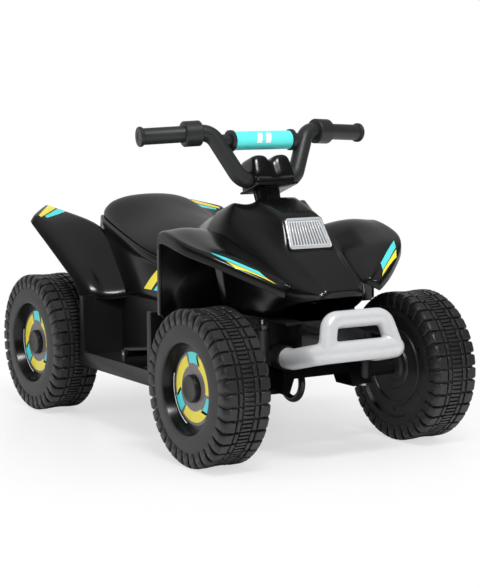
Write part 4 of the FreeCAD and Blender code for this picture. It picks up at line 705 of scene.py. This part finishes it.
def bent_bar(bm, points, radius, bend=0.0):
    """A round bar along straight runs, spun round each corner, closed at both ends."""
    points = [Vector(point) for point in points]
    start = points[0]
    turn = (points[1] - start).normalized().to_track_quat("Z", "Y").to_matrix().to_4x4()
    made = bmesh.ops.create_circle(bm, segments=BAR_SIDES, radius=radius,
                                   matrix=Matrix.Translation(start) @ turn)
    rim = edges_of(made["verts"])
    first_rim = rim
    for corner, after in zip(points[1:-1], points[2:]):
        into = (corner - start).normalized()
        out = (after - corner).normalized()
        angle = into.angle(out)
        reach = bend * math.tan(angle / 2)
        rim = extend(bm, rim, corner - into * reach - start)
        centre = corner - into * reach + (out - into * out.dot(into)).normalized() * bend
        spun = bmesh.ops.spin(bm, geom=rim + verts_of(rim), cent=centre, axis=into.cross(out), angle=angle,
                              steps=max(BEND_STEPS, int(math.degrees(angle) / BEND_STEP)))
        rim = of_kind(spun["geom_last"], bmesh.types.BMEdge)
        start = corner + out * reach
    rim = extend(bm, rim, points[-1] - start)
    for end in (first_rim, rim):
        bmesh.ops.holes_fill(bm, edges=end, sides=BAR_SIDES)


def finish_piece(bm, name, materials, body, replaced=(), slot=None, levels=0, wall=0.0, outward=True,
                 angle=SHARP_ANGLE):
    """Turns a bmesh in millimetres into a piece that rides on a body and stands for CAD nodes."""
    scale_all(bm, MM)
    if outward:
        bmesh.ops.recalc_face_normals(bm, faces=bm.faces)
    mesh = bpy.data.meshes.new(name)
    bm.to_mesh(mesh)
    bm.free()
    mesh.shade_smooth()
    if not levels:
        mesh.set_sharp_from_angle(angle=math.radians(angle))
    piece = bpy.data.objects.new(name, mesh)
    bpy.context.scene.collection.objects.link(piece)
    for material in materials if isinstance(materials, (list, tuple)) else [materials]:
        mesh.materials.append(material)
    if levels:
        smooth = piece.modifiers.new("smooth", "SUBSURF")
        smooth.levels = levels
        smooth.render_levels = levels
        smooth.boundary_smooth = "PRESERVE_CORNERS"
    if wall:
        skin = piece.modifiers.new("wall", "SOLIDIFY")
        skin.thickness = wall * MM
        skin.offset = -1.0
    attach(piece, body)
    if replaced:
        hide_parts(*replaced)
    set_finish(piece, slot or slot_of[replaced[0]])
    return piece


# Hood and fenders

def hood():
    bm = bmesh.new()
    grid = cage(bm, [[front(x, y, z) for x, z in whole_row(half)] for y, half in HOOD])
    sharpen_sides(bm, grid, HOOD_CREASE, CREASE_LINE)
    sharpen_sides(bm, grid, HOOD_EDGE, SHARP_LINE)
    for row in FOLDED_ROWS:
        sharpen(bm, grid[row][HOOD_EDGE:-HOOD_EDGE], SHARP_LINE)
    sharpen(bm, grid[RIDGE_ROW][HOOD_CREASE:-HOOD_CREASE], CREASE_LINE)
    close_end(bm, grid[0], NOSE_LINE)
    finish_piece(bm, "hood_shell", BODY_ABS, "chassis", ["hood"], levels=SMOOTHER, wall=SHELL_WALL)


def hood_edge(y):
    """Fender line of the hood at a distance from the front axle."""
    for before, after in zip(HOOD, HOOD[1:]):
        if y <= after[0]:
            break
    share = (y - before[0]) / (after[0] - before[0])
    (x0, z0), (x1, z1) = before[1][FENDER_LINE], after[1][FENDER_LINE]
    return front(x0 + (x1 - x0) * share, y, z0 + (z1 - z0) * share)


def fender_row(inner, crease, edge, rise):
    """One row over a fender: inner edge, crowned or hollowed middle, outer crease and lip."""
    across = inner - crease
    support = crease + across.normalized() * EDGE_SUPPORT
    return [inner, crease + across * ROOT_SHARE + rise * ROOT_RISE, crease + across * MIDDLE_SHARE + rise,
            support, crease, crease.lerp(edge, LIP_SHARE), edge]


def fender_sheet(name, node_name, rows, sign):
    """A fender's skin through its rows, with a crease along the lip and a closed end."""
    bm = bmesh.new()
    grid = cage(bm, rows)
    sharpen(bm, [row[OUTER_CREASE] for row in grid], LIP_LINE)
    close_end(bm, grid[-1], NOSE_LINE)
    if sign < 0:
        flip_sides(bm)
    return finish_piece(bm, name, BODY_ABS, "chassis", [node_name], levels=SMOOTH, wall=SHELL_WALL)


def fender_point(ends_at, stations, station, share):
    """A point on a left fender, by station and share of the way from its inner edge outwards."""
    index = min(int(station), len(stations) - 2)
    here, after = (ends_at(row)[0].lerp(ends_at(row)[1], share) for row in (index, index + 1))
    return here.lerp(after, station - index)


def front_fender_ends(index):
    """Inner and outer edge of the left front fender at a station."""
    y, (inset, outer_y, outer_z) = FRONT_FENDER[index]
    return hood_edge(y), front(FENDER_X - inset, outer_y, outer_z)


def front_fender(side, sign):
    rows = []
    for index in range(len(FRONT_FENDER)):
        inner, outer = front_fender_ends(index)
        inner = inner - Vector((FRONT_ROOT, 0, 0))
        rows.append(fender_row(inner, outer, outer - Vector((0, 0, FRONT_LIP)), Vector((0, 0, FRONT_CROWN))))
    for row, lift in zip(rows, REAR_LIFT):
        for column, share in enumerate(LIFT_SHARES):
            row[column] += Vector((0, 0, lift * share))
    rows.insert(0, [point + Vector(REAR_ROLL) for point in rows[0]])
    return fender_sheet("front_fender_shell_" + side, "front_fender_" + side, rows, sign)


def mudguard(side, sign):
    """Flat wall behind the front wheel, with a flange along its outer edge, below the fender."""
    bm = bmesh.new()
    face = bm.faces.new([bm.verts.new(front(x, GUARD_Y, z)) for x, z in GUARD_CORNERS])
    draw_out(bm, [face], (0, SHELL_WALL, 0))
    bmesh.ops.recalc_face_normals(bm, faces=bm.faces)
    soften(bm, bm.edges[:], GUARD_EDGE, EDGE_SEGMENTS)
    rounded_block(bm, front(*FLANGE_LOW), front(*FLANGE_HIGH), FLANGE_EDGE)
    if sign < 0:
        flip_sides(bm)
    finish_piece(bm, "mudguard_" + side, BODY_ABS, "chassis", slot="gloss_black_shell")


def rear_fender_ends(index):
    """Inner edge, crease and lip edge of the left rear fender at a station, and the way up from it."""
    inner, (inset, outer_y, outer_z), _ = REAR_FENDER[index]
    inner = rear(*inner)
    edge = rear(FENDER_X - inset, outer_y, outer_z)
    up = Vector((0, -math.cos(REAR_LEAN), math.sin(REAR_LEAN)))
    return inner, edge + (inner - edge).normalized() * REAR_LIP_W + up * REAR_LIP_DROP, edge, up


def rear_fender(side, sign):
    rows = []
    for index, (_, _, rise) in enumerate(REAR_FENDER):
        inner, crease, edge, up = rear_fender_ends(index)
        rows.append(fender_row(inner - Vector((ROOT_DEPTH[index], 0, 0)), crease, edge, up * rise))
    rows.insert(0, [point - Vector((0, 0, SKIRT_DROP)) for point in rows[0]])
    return fender_sheet("rear_fender_shell_" + side, "rear_fender_" + side, rows, sign)


# Upper body, tank cover and saddle

def upper_body():
    """Side panels with a raised band along the lip, a deck under the saddle and a sloping tail."""
    bm = bmesh.new()
    rows = []
    for y, foot, lip, z in BODY:
        rise = z - SHELL_FOOT
        band = z - min(LIP_BAND, rise * BAND_SHARE)
        half = [(foot, SHELL_FOOT), (foot + (lip - foot) * PANEL_MIDDLE, SHELL_FOOT + rise * PANEL_MIDDLE),
                (lip - BAND_GROOVE, band), (lip + LIP_PROUD, band + BAND_RAMP),
                (lip + LIP_PROUD, z - LIP_ROUND), (lip - LIP_ROUND, z),
                (lip - DECK_EDGE, z - DECK_DROP), (0, z - DECK_DROP)]
        rows.append([rear(x, y, h) for x, h in whole_row(half)])
    grid = cage(bm, rows)
    for column in BAND_COLUMNS:
        sharpen_sides(bm, grid, column, SHARP_LINE)
    sharpen(bm, grid[-2], CREASE_LINE)
    close_end(bm, grid[-1], NOSE_LINE)
    return finish_piece(bm, "body_shell", BODY_ABS, "chassis", ["upper_body"], levels=SMOOTH, wall=SHELL_WALL)


def tank_cover():
    bm = bmesh.new()
    rows = []
    (y0, _, lip0, z0), (y1, _, lip1, z1) = BODY[:2]
    for share, half in TANK:
        foot = (lip0 + (lip1 - lip0) * share, z0 + (z1 - z0) * share + SEAM)
        rows.append([rear(x, y0 + (y1 - y0) * share, z) for x, z in whole_row((foot,) + half)])
    grid = cage(bm, rows)
    close_end(bm, grid[-1], TANK_LINE)
    finish_piece(bm, "tank_shell", BODY_ABS, "chassis", ["tank_cover"], levels=SMOOTHER, wall=SHELL_WALL)


def saddle():
    bm = bmesh.new()
    rows = []
    for (y, _, lip, z), crown, shoulder, top in zip(BODY[1:-1], SADDLE_CROWN, SADDLE_SHOULDER, SADDLE_TOP):
        half = lip - SADDLE_INSET
        side = crown * shoulder
        shape = [(half, z + SEAM), (half, z + side / SADDLE_PARTS), (half * SADDLE_SIDE, z + side),
                 (half * SADDLE_MIDWAY, z + crown * top), (0, z + crown)]
        rows.append([rear(x, y, h) for x, h in whole_row(shape)])
    grid = cage(bm, rows)
    close_end(bm, grid[0], SADDLE_FRONT_LINE)
    close_end(bm, grid[-1], SADDLE_TAIL_LINE)
    finish_piece(bm, "saddle", SADDLE_ABS, "chassis", ["seat"], levels=SMOOTHER)


# Wheels

def tread_blocks(bm):
    """Blocks over one pitch at the top of the wheel."""
    pitch = 2 * math.pi * TREAD_R / LUGS
    root = DRUM_R - BLOCK_ROOT
    for side in (1, -1):
        for inner, outer, top, share in SIDE_BLOCKS:
            low_x, high_x = sorted((side * inner, side * outer))
            half = pitch * share / 2
            rounded_block(bm, (low_x, -half, root), (high_x, half, top), BLOCK_EDGE, 1)
        shoulder_lug(bm, side, pitch * LUG_SHARE)
    for index in range(RIBS):
        middle = (index - RIBS // 2) * pitch / RIBS
        half = pitch * RIB_SHARE
        rounded_block(bm, (-RIB_HALF, middle - half, root), (RIB_HALF, middle + half, RIB_TOP), RIB_EDGE, 1)


def shoulder_lug(bm, side, half):
    """A lug over the shoulder, of a given half width."""
    face = bm.faces.new([bm.verts.new((side * x, -half, z)) for x, z in LUG_OUTLINE])
    near = list(face.verts)
    far, _ = draw_out(bm, [face], (0, 2 * half, 0))
    soften(bm, edges_of(near + far), LUG_EDGE, 1)


def wheel_mesh():
    """Tread and drum of a left wheel about the origin, with screw heads in its inner side, drawn black as
    painted shade of their holes.
    """
    bm = bmesh.new()
    tread_blocks(bm)
    bmesh.ops.recalc_face_normals(bm, faces=bm.faces)
    spin(bm, everything(bm), FULL_TURN * (LUGS - 1) / LUGS, LUGS - 1, use_duplicate=True)
    drum = bmesh.new()
    turned(drum, DRUM_PROFILE, DRUM_STEPS)
    bmesh.ops.recalc_face_normals(drum, faces=drum.faces)
    sunk = Matrix.Translation((BACK_FLOOR, 0, SCREW_PLACE)) @ Matrix.Rotation(math.pi / 2, 4, "Y")
    for index in range(BACK_SCREWS):
        turn = Matrix.Rotation(2 * math.pi * index / BACK_SCREWS, 4, "X")
        head = bmesh.ops.create_cone(drum, cap_ends=True, segments=SCREW_SIDES, radius1=SCREW_R,
                                     radius2=SCREW_R, depth=SCREW_H, matrix=turn @ sunk)
        # Black heads: painted shade of the screw holes
        for face in {face for vert in head["verts"] for face in vert.link_faces}:
            face.material_index = 1
    merge_in(bm, drum)
    return bm


def place_wheel(bm, end, sign):
    if sign < 0:
        flip_sides(bm)
    bmesh.ops.translate(bm, vec=end(sign * WHEEL_X, 0, 0), verts=bm.verts)


def wheel_sticker(bm):
    """Film in the dish: black rim, printed on the floor and painted shade up the dish's wall, grey field,
    broken rings in two colours and a white arc.
    """
    for film, start_point, end_point, start, end in DISC_RINGS:
        ring_face(bm, film, start_point, end_point, start, end)
    for index in range(BANDS):
        turn = BAND_TURN + FULL_TURN * index / BANDS
        for film, inner, outer, start, end in BAND_ARCS:
            ring_face(bm, film, (PRINT_X, inner), (PRINT_X, outer), turn + start, turn + end)
        for film, start, corners in BAND_TIPS:
            film_face(bm, film, corners, turn + start)


def turn_verts(bm, verts, degrees):
    bmesh.ops.rotate(bm, verts=verts, cent=(0, 0, 0), matrix=Matrix.Rotation(math.radians(degrees), 3, "X"))


def ring_face(bm, film, start_point, end_point, start, end):
    """A ring or arc of film about the axle, between two points of (place along the axle, radius)."""
    verts = [bm.verts.new((x, 0, r)) for x, r in (start_point, end_point)]
    turn_verts(bm, verts, start)
    edge = bm.edges.new(verts)
    before = set(bm.faces)
    steps = max(ARC_STEPS, int((end - start) / ARC_STEP))
    spin(bm, verts + [edge], end - start, steps, use_merge=end - start >= FULL_TURN)
    for face in set(bm.faces) - before:
        face.material_index = DISC_FILMS.index(film)


def film_face(bm, film, corners, degrees):
    """A flat shape of film in the plane of the print, turned about the axle."""
    verts = [bm.verts.new((PRINT_X, y, z)) for y, z in corners]
    face = bm.faces.new(verts)
    face.material_index = DISC_FILMS.index(film)
    turn_verts(bm, verts, degrees)


def wheels():
    tread = wheel_mesh()
    for end_name, end in (("front", front), ("rear", rear)):
        for side, sign in SIDES:
            corner = "%s_%s" % (end_name, side)
            body = corner + "_wheel"
            bm = tread.copy()
            place_wheel(bm, end, sign)
            finish_piece(bm, corner + "_wheel", [WHEEL_PE, ROD_PAINT], body,
                         [corner + "_wheel_outer", corner + "_wheel_inner"], outward=False, angle=TREAD_ANGLE)
            bm = bmesh.new()
            turned(bm, CAP_PROFILE, TURN_STEPS)
            place_wheel(bm, end, sign)
            finish_piece(bm, corner + "_cap", CAP_ABS, body, [corner + "_hub_cap"])
            bm = bmesh.new()
            wheel_sticker(bm)
            place_wheel(bm, end, sign)
            finish_piece(bm, corner + "_dish_sticker", [VINYL[film] for film in DISC_FILMS], body,
                         slot="charcoal_wheel", outward=False)
    tread.free()


# Column head and handlebar

def handlebar():
    bm = bmesh.new()
    bent_bar(bm, both_sides([GRIP_START, BAR_HIGH, BAR_LOW]), BAR_R, BAR_BEND)
    bent_bar(bm, both_sides([(-CROSSBAR_END, BAR_Y, CROSSBAR_Z)]), CROSSBAR_R)
    for _, sign in SIDES:
        collar = bmesh.new()
        turned(collar, COLLAR_PROFILE, COLLAR_STEPS)
        bmesh.ops.translate(collar, vec=(SLEEVE_HALF, BAR_Y, CROSSBAR_Z), verts=collar.verts)
        if sign < 0:
            flip_sides(collar)
        merge_in(bm, collar)
    put(bm, COLUMN)
    finish_piece(bm, "handlebar_tube", BAR_PP, "steering", ["handlebar"])


def grip(side, sign):
    bm = bmesh.new()
    turned(bm, GRIP_PROFILE, TURN_STEPS)
    turn = GRIP_OUT.to_track_quat("X", "Z").to_matrix().to_4x4()
    put(bm, COLUMN @ Matrix.Translation(GRIP_START) @ turn)
    if sign < 0:
        flip_sides(bm)
    finish_piece(bm, "grip_sleeve_" + side, BAR_PP, "steering", ["grip_" + side])


def crossbar_sleeve():
    bm = bmesh.new()
    end = [(SLEEVE_HALF - SLEEVE_EDGE, SLEEVE_R), (SLEEVE_HALF, SLEEVE_R - SLEEVE_EDGE),
           (SLEEVE_HALF, SLEEVE_BORE)]
    turned(bm, [(-x, r) for x, r in reversed(end)] + end, TURN_STEPS)
    put(bm, COLUMN @ Matrix.Translation((0, BAR_Y, CROSSBAR_Z)))
    return finish_piece(bm, "crossbar_sleeve", SLEEVE_EVA, "steering", ["crossbar_pad"])


def neck_and_base():
    """Fluted neck under a flat seat with a flared lip."""
    bm = bmesh.new()
    made = bmesh.ops.create_cone(bm, cap_ends=True, segments=NECK_SIDES, radius1=NECK_FOOT_R,
                                 radius2=NECK_TOP_R, depth=NECK_H,
                                 matrix=Matrix.Translation((0, 0, NECK_MIDDLE)))
    for vert in made["verts"]:
        turn = math.degrees(math.atan2(vert.co.y, vert.co.x)) % FLUTE_PITCH
        if FLUTE_START < turn < FLUTE_END:
            vert.co.x *= FLUTE_FLOOR
            vert.co.y *= FLUTE_FLOOR
    rounded_block(bm, BASE_LOW, BASE_HIGH, BASE_EDGE)
    put(bm, COLUMN)
    finish_piece(bm, "column_neck", BODY_ABS, "steering", ["clamp_base"], angle=CRISP_ANGLE)


def clamp_lobes():
    """One moulded cover over the bar: two round lobes with a groove between them, on a flared foot."""
    bm = bmesh.new()
    rows = []
    mirrored = [(-x, top, depth) for x, top, depth in reversed(CLAMP_LOBES)]
    for x, top, depth in mirrored + list(CLAMP_LOBES[1:]):
        half = [(x * CLAMP_FLARE, depth * CLAMP_FLARE + CLAMP_SKIRT, CLAMP_FOOT),
                (x * CLAMP_WAIST, depth + CLAMP_BULGE, (top + CLAMP_FOOT) / 2),
                (x, depth, top - CLAMP_ROUND), (x, depth - CLAMP_ROUND, top)]
        section = [(place, -y, z) for place, y, z in half] + [(x, 0.0, top)] + half[::-1]
        rows.append([Vector((place, CLAMP_MIDDLE + y, z)) for place, y, z in section])
    grid = cage(bm, rows)
    for row in (grid[0], grid[-1]):
        bm.faces.new(row)
    bm.faces.new([row[0] for row in grid] + [row[-1] for row in reversed(grid)])
    put(bm, COLUMN)
    cover = finish_piece(bm, "clamp_lobes", BODY_ABS, "steering", ["clamp_cap"], levels=SMOOTH)
    bm = bmesh.new()
    rounded_block(bm, PLINTH_LOW, PLINTH_HIGH, PLINTH_EDGE, PLINTH_SEGMENTS)
    put(bm, COLUMN)
    finish_piece(bm, "clamp_foot", BODY_ABS, "steering", slot=cover["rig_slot"])


def bumper():
    """Two bent bars, fused by a voxel remesh and smoothed so that the joins have fillets, and two stays drawn
    black as painted shade.
    """
    stays = bmesh.new()
    for _, sign in SIDES:
        bent_bar(stays, [front(sign * x, y, z) for x, y, z in BUMPER_STAY], STAY_R)
    # The stays are part of the silver bumper; their black finish is painted shade for the shadow they lie in
    finish_piece(stays, "bumper_stays_painted_shade", CHASSIS_PP, "chassis", slot="silver_bumper")
    bm = bmesh.new()
    for run, radius, bend in ((BUMPER_RAIL, BUMPER_R, RAIL_BEND), (BUMPER_HOOP, HOOP_R, HOOP_BEND)):
        bent_bar(bm, both_sides([front(*point) for point in run]), radius, bend)
    piece = finish_piece(bm, "bumper_loop", BUMPER_PP, "chassis", ["front_bumper"], angle=FUSED_ANGLE)
    fused = piece.modifiers.new("fused", "REMESH")
    fused.mode = "VOXEL"
    fused.voxel_size = FUSE_VOXEL * MM
    fused.use_smooth_shade = True
    eased = piece.modifiers.new("eased", "SMOOTH")
    eased.factor = EASE_FACTOR
    eased.iterations = EASE_ROUNDS


# Headlight

def lamp_plate(across, down, shift, radius, low, high):
    """A plate with rounded corners in the lamp's own frame; its front face is given back too."""
    bm = bmesh.new()
    face = bm.faces.new([bm.verts.new((x * across, y * down + shift, low)) for x, y in LAMP_CORNERS])
    soften(bm, face.verts[:], radius, CORNER_SEGMENTS, "VERTICES")
    _, top = draw_out(bm, bm.faces[:], (0, 0, high - low))
    bmesh.ops.recalc_face_normals(bm, faces=bm.faces)
    return bm, top


def lamp_shell(name, material, plate, insets, soft, replaced=(), slot=None):
    """A frame of the lamp, open at its front, with steps towards the lens and softened edges."""
    bm, top = lamp_plate(*plate)
    for width, depth in insets:
        bmesh.ops.inset_region(bm, faces=top, thickness=width, depth=depth)
    bmesh.ops.delete(bm, geom=top, context="FACES")
    put(bm, LAMP_FRAME)
    piece = finish_piece(bm, name, material, "chassis", replaced, slot, angle=CRISP_ANGLE)
    edge = piece.modifiers.new("soft_edge", "BEVEL")
    edge.width = soft * MM
    edge.segments = SOFT_SEGMENTS
    edge.limit_method = "ANGLE"


def headlight():
    """Silver frame with a ribbed lens, in a black housing that stands proud of the nose."""
    lamp_shell("headlight_housing", BODY_ABS, HOUSING_PLATE, HOUSING_INSETS, HOUSING_SOFT,
               slot="gloss_black_shell")
    lamp_shell("headlight_frame", BEZEL_ABS, FRAME_PLATE, FRAME_INSETS, FRAME_SOFT, ["headlight_bezel"])
    bm, _ = lamp_plate(*LENS_PLATE)
    # The plate behind the ribs takes the painted shade of the gaps between them
    for face in bm.faces:
        face.material_index = 1
    for index in range(LENS_RIBS):
        share = 2 * index / (LENS_RIBS - 1) - 1
        for vert in rounded_block(bm, LENS_RIB_LOW, LENS_RIB_HIGH, LENS_RIB_EDGE):
            vert.co.x += share * (LENS_SPREAD + LENS_TAPER * vert.co.y / LENS_HALF_H)
    for y in (LENS_BAR_W - LENS_HALF_H, LENS_HALF_H - LENS_BAR_W):
        half = LENS_BAR_HALF + LENS_TAPER * y / LENS_HALF_H
        rounded_block(bm, (-half, y - LENS_BAR_W, LENS_FLOOR), (half, y + LENS_BAR_W, LENS_BAR_TOP),
                      LENS_BAR_EDGE, 1)
    put(bm, LAMP_FRAME)
    finish_piece(bm, "headlight_glass", [LENS_PS, LENS_PAINTED_SHADE], "chassis", ["headlight_lens"],
                 angle=CRISP_ANGLE)


# CAD pieces with a visual copy

def moulding(node_name, body, radius):
    """A CAD piece with its flat faces joined and its sharp edges rounded, as they leave a mould."""
    bm = cad_copy(node_name)
    bmesh.ops.dissolve_limit(bm, angle_limit=math.radians(FLAT_ANGLE), verts=bm.verts, edges=bm.edges)
    sharp = [edge for edge in bm.edges if len(edge.link_faces) == 2
             and edge.calc_face_angle(0.0) > math.radians(MOULD_ANGLE)]
    soften(bm, sharp, radius, EDGE_SEGMENTS, clamp=True)
    finish = BATTERY_ABS if node_name == "battery" else CHASSIS_PP
    finish_piece(bm, node_name + "_moulding", finish, body, [node_name], outward=False, angle=MOULD_ANGLE)


def return_spring():
    """The pedal's leaf spring, which flattens towards its foot; a copy of its CAD piece with a mesh of its
    own.
    """
    spring = finish_piece(cad_copy("pedal_spring"), "return_spring", ZINC, "chassis", ["pedal_spring"],
                          outward=False)
    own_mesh(spring)


# Stickers: a strip of a shell's own surface, cut out by planes and lifted by the film's thickness

def sticker(name, shell, colour, planes, facing, body="chassis"):
    """Cuts a shell's skin by planes of (point, direction kept) and lays the rest on it as film."""
    graph = bpy.context.evaluated_depsgraph_get()
    mesh = bpy.data.meshes.new_from_object(shell.evaluated_get(graph))
    bm = bmesh.new()
    bm.from_mesh(mesh)
    bpy.data.meshes.remove(mesh)
    scale_all(bm, 1 / MM)
    bm.normal_update()
    away = [face for face in bm.faces if face.normal.dot(Vector(facing)) < FACING_LIMIT]
    bmesh.ops.delete(bm, geom=away, context="FACES")
    for point, keep in planes:
        bmesh.ops.bisect_plane(bm, geom=everything(bm), plane_co=point, plane_no=keep, clear_inner=True)
    bm.normal_update()
    for vert in bm.verts:
        vert.co += vert.normal * FILM
    finish_piece(bm, name, VINYL[colour], body, slot=shell["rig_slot"], outward=False)


def outline_planes(corners, view):
    """Planes through the sides of an outline, seen along a direction, that keep its inside."""
    middle = sum(corners, Vector()) / len(corners)
    planes = []
    for corner, after in zip(corners, corners[1:] + corners[:1]):
        normal = (after - corner).cross(Vector(view))
        if normal.dot(middle - corner) < 0:
            normal = -normal
        planes.append((corner, normal.normalized()))
    return planes


def stickers():
    """Plain stripes in two colours on the fenders, the side panels and the crossbar's sleeve."""
    for side, sign in SIDES:
        flip = Vector((sign, 1, 1))
        for fender, ends_at, stations, stripes, view, facing in (
            ("front_fender", front_fender_ends, FRONT_FENDER, FENDER_STRIPES, FENDER_VIEW, FENDER_FACING),
            ("rear_fender", rear_fender_ends, REAR_FENDER, TIP_STRIPES, TIP_VIEW, TIP_VIEW),
        ):
            for colour, corners in stripes:
                outline = [fender_point(ends_at, stations, *corner) * flip for corner in corners]
                sticker("%s_stripe_%s_%s" % (fender, colour, side), shells[fender, side], colour,
                        outline_planes(outline, view), facing)
        for colour, corners in PANEL_SLASHES:
            outline = [Vector((sign * PANEL_X, y, AXLE_Z + z)) for y, z in corners]
            sticker("side_slash_%s_%s" % (colour, side), shells["body"], colour,
                    outline_planes(outline, PANEL_VIEW), (sign, 0, PANEL_TILT))
    back = COLUMN.col[1].xyz
    for index, x in enumerate(SLEEVE_BARS):
        outline = [COLUMN @ Vector((x + lean, BAR_Y - SLEEVE_R, CROSSBAR_Z + z)) for lean, z in SLEEVE_BAR]
        sticker("sleeve_bar_%d" % index, shells["sleeve"], "white", outline_planes(outline, back), -back,
                "steering")


# Stage and camera

def paper_floor():
    """White paper that turns to plain white for the camera away from the part."""
    bm = bmesh.new()
    bmesh.ops.create_grid(bm, x_segments=1, y_segments=1, size=FLOOR_HALF)
    mesh = bpy.data.meshes.new("floor")
    bm.to_mesh(mesh)
    bm.free()
    floor = bpy.data.objects.new("floor", mesh)
    bpy.context.scene.collection.objects.link(floor)
    material = bpy.data.materials.new("white_paper_floor")
    material.use_nodes = True
    tree = material.node_tree
    shader = tree.nodes["Principled BSDF"]
    shader.inputs["Base Color"].default_value = linear(FLOOR_COLOUR)
    shader.inputs["Roughness"].default_value = FLOOR_ROUGHNESS
    shader.inputs["Specular IOR Level"].default_value = FLOOR_SPECULAR
    place = node(tree, "ShaderNodeTexCoord").outputs["Object"]
    far = node(tree, "ShaderNodeVectorMath", {0: place}, operation="LENGTH")
    fade = node(tree, "ShaderNodeMapRange", {"Value": far.outputs["Value"], **FLOOR_FADE},
                interpolation_type="SMOOTHSTEP")
    ray = node(tree, "ShaderNodeLightPath").outputs["Is Camera Ray"]
    shown = node(tree, "ShaderNodeMath", {0: fade.outputs["Result"], 1: ray}, operation="MULTIPLY")
    paper = node(tree, "ShaderNodeEmission", {"Color": WHITE, "Strength": 1.0})
    mix = node(tree, "ShaderNodeMixShader",
               {0: shown.outputs["Value"], 1: shader.outputs["BSDF"], 2: paper.outputs["Emission"]})
    tree.links.new(mix.outputs["Shader"], tree.nodes["Material Output"].inputs["Surface"])
    mesh.materials.append(material)


def surroundings():
    """A room that is white for the camera, and brightest at the back and above in reflections."""
    world = bpy.data.worlds.new("white_studio")
    bpy.context.scene.world = world
    world.use_nodes = True
    tree = world.node_tree
    room = tree.nodes["Background"]
    path = node(tree, "ShaderNodeLightPath").outputs
    seen = node(tree, "ShaderNodeMath", {0: path["Is Camera Ray"], 1: path["Is Transmission Ray"]},
                operation="MAXIMUM")
    way = node(tree, "ShaderNodeTexCoord").outputs["Generated"]
    apart = node(tree, "ShaderNodeSeparateXYZ", {0: way}).outputs
    back, above = (
        node(tree, "ShaderNodeMapRange", {"Value": apart[axis], **glow}, interpolation_type="SMOOTHSTEP")
        for axis, glow in (("Y", BACK_GLOW), ("Z", TOP_GLOW)))
    around = node(tree, "ShaderNodeMath", {0: back.outputs["Result"], 1: above.outputs["Result"]},
                  operation="MAXIMUM")
    light = node(tree, "ShaderNodeMix",
                 {0: path["Is Glossy Ray"], 2: ROOM_LIGHT, 3: around.outputs["Value"]})
    level = node(tree, "ShaderNodeMix", {0: seen.outputs["Value"], 2: light.outputs[0], 3: 1.0})
    room.inputs["Color"].default_value = WHITE
    tree.links.new(level.outputs[0], room.inputs["Strength"])


def lamps():
    for name, spot, width, length, watts, aim, mirrored in LAMPS:
        lamp = bpy.data.lights.new(name, "AREA")
        lamp.shape = "RECTANGLE"
        lamp.size = width
        lamp.size_y = length
        lamp.energy = watts
        holder = bpy.data.objects.new(name, lamp)
        holder.visible_glossy = mirrored
        holder.location = spot
        holder.rotation_euler = (Vector(aim) - Vector(spot)).to_track_quat("-Z", "Y").to_euler()
        bpy.context.scene.collection.objects.link(holder)


def camera():
    data = bpy.data.cameras.new("photo_camera")
    data.sensor_fit = "VERTICAL"
    data.sensor_height = SENSOR
    data.lens = FOCAL_PX * SENSOR / IMAGE_H
    data.clip_start = CLIP_START
    eye = bpy.data.objects.new("photo_camera", data)
    level = math.cos(CAMERA_PITCH)
    back = Vector((math.sin(CAMERA_YAW) * level, -math.cos(CAMERA_YAW) * level, math.sin(CAMERA_PITCH)))
    turn = back.to_track_quat("Z", "Y").to_matrix().to_4x4() @ Matrix.Rotation(CAMERA_ROLL, 4, "Z")
    eye.matrix_world = Matrix.Translation(CAMERA_PLACE) @ turn
    bpy.context.scene.collection.objects.link(eye)
    bpy.context.scene.camera = eye


bpy.context.scene.view_settings.view_transform = "Standard"
dress_cad()
camera()
paper_floor()
surroundings()
lamps()
hood()
shells = {"body": upper_body(), "sleeve": crossbar_sleeve()}
for side, sign in SIDES:
    shells["front_fender", side] = front_fender(side, sign)
    mudguard(side, sign)
    shells["rear_fender", side] = rear_fender(side, sign)
tank_cover()
saddle()
wheels()
handlebar()
for side, sign in SIDES:
    grip(side, sign)
neck_and_base()
clamp_lobes()
bumper()
headlight()
return_spring()
stickers()
for node_name, body, radius in MOULDINGS:
    moulding(node_name, body, radius)
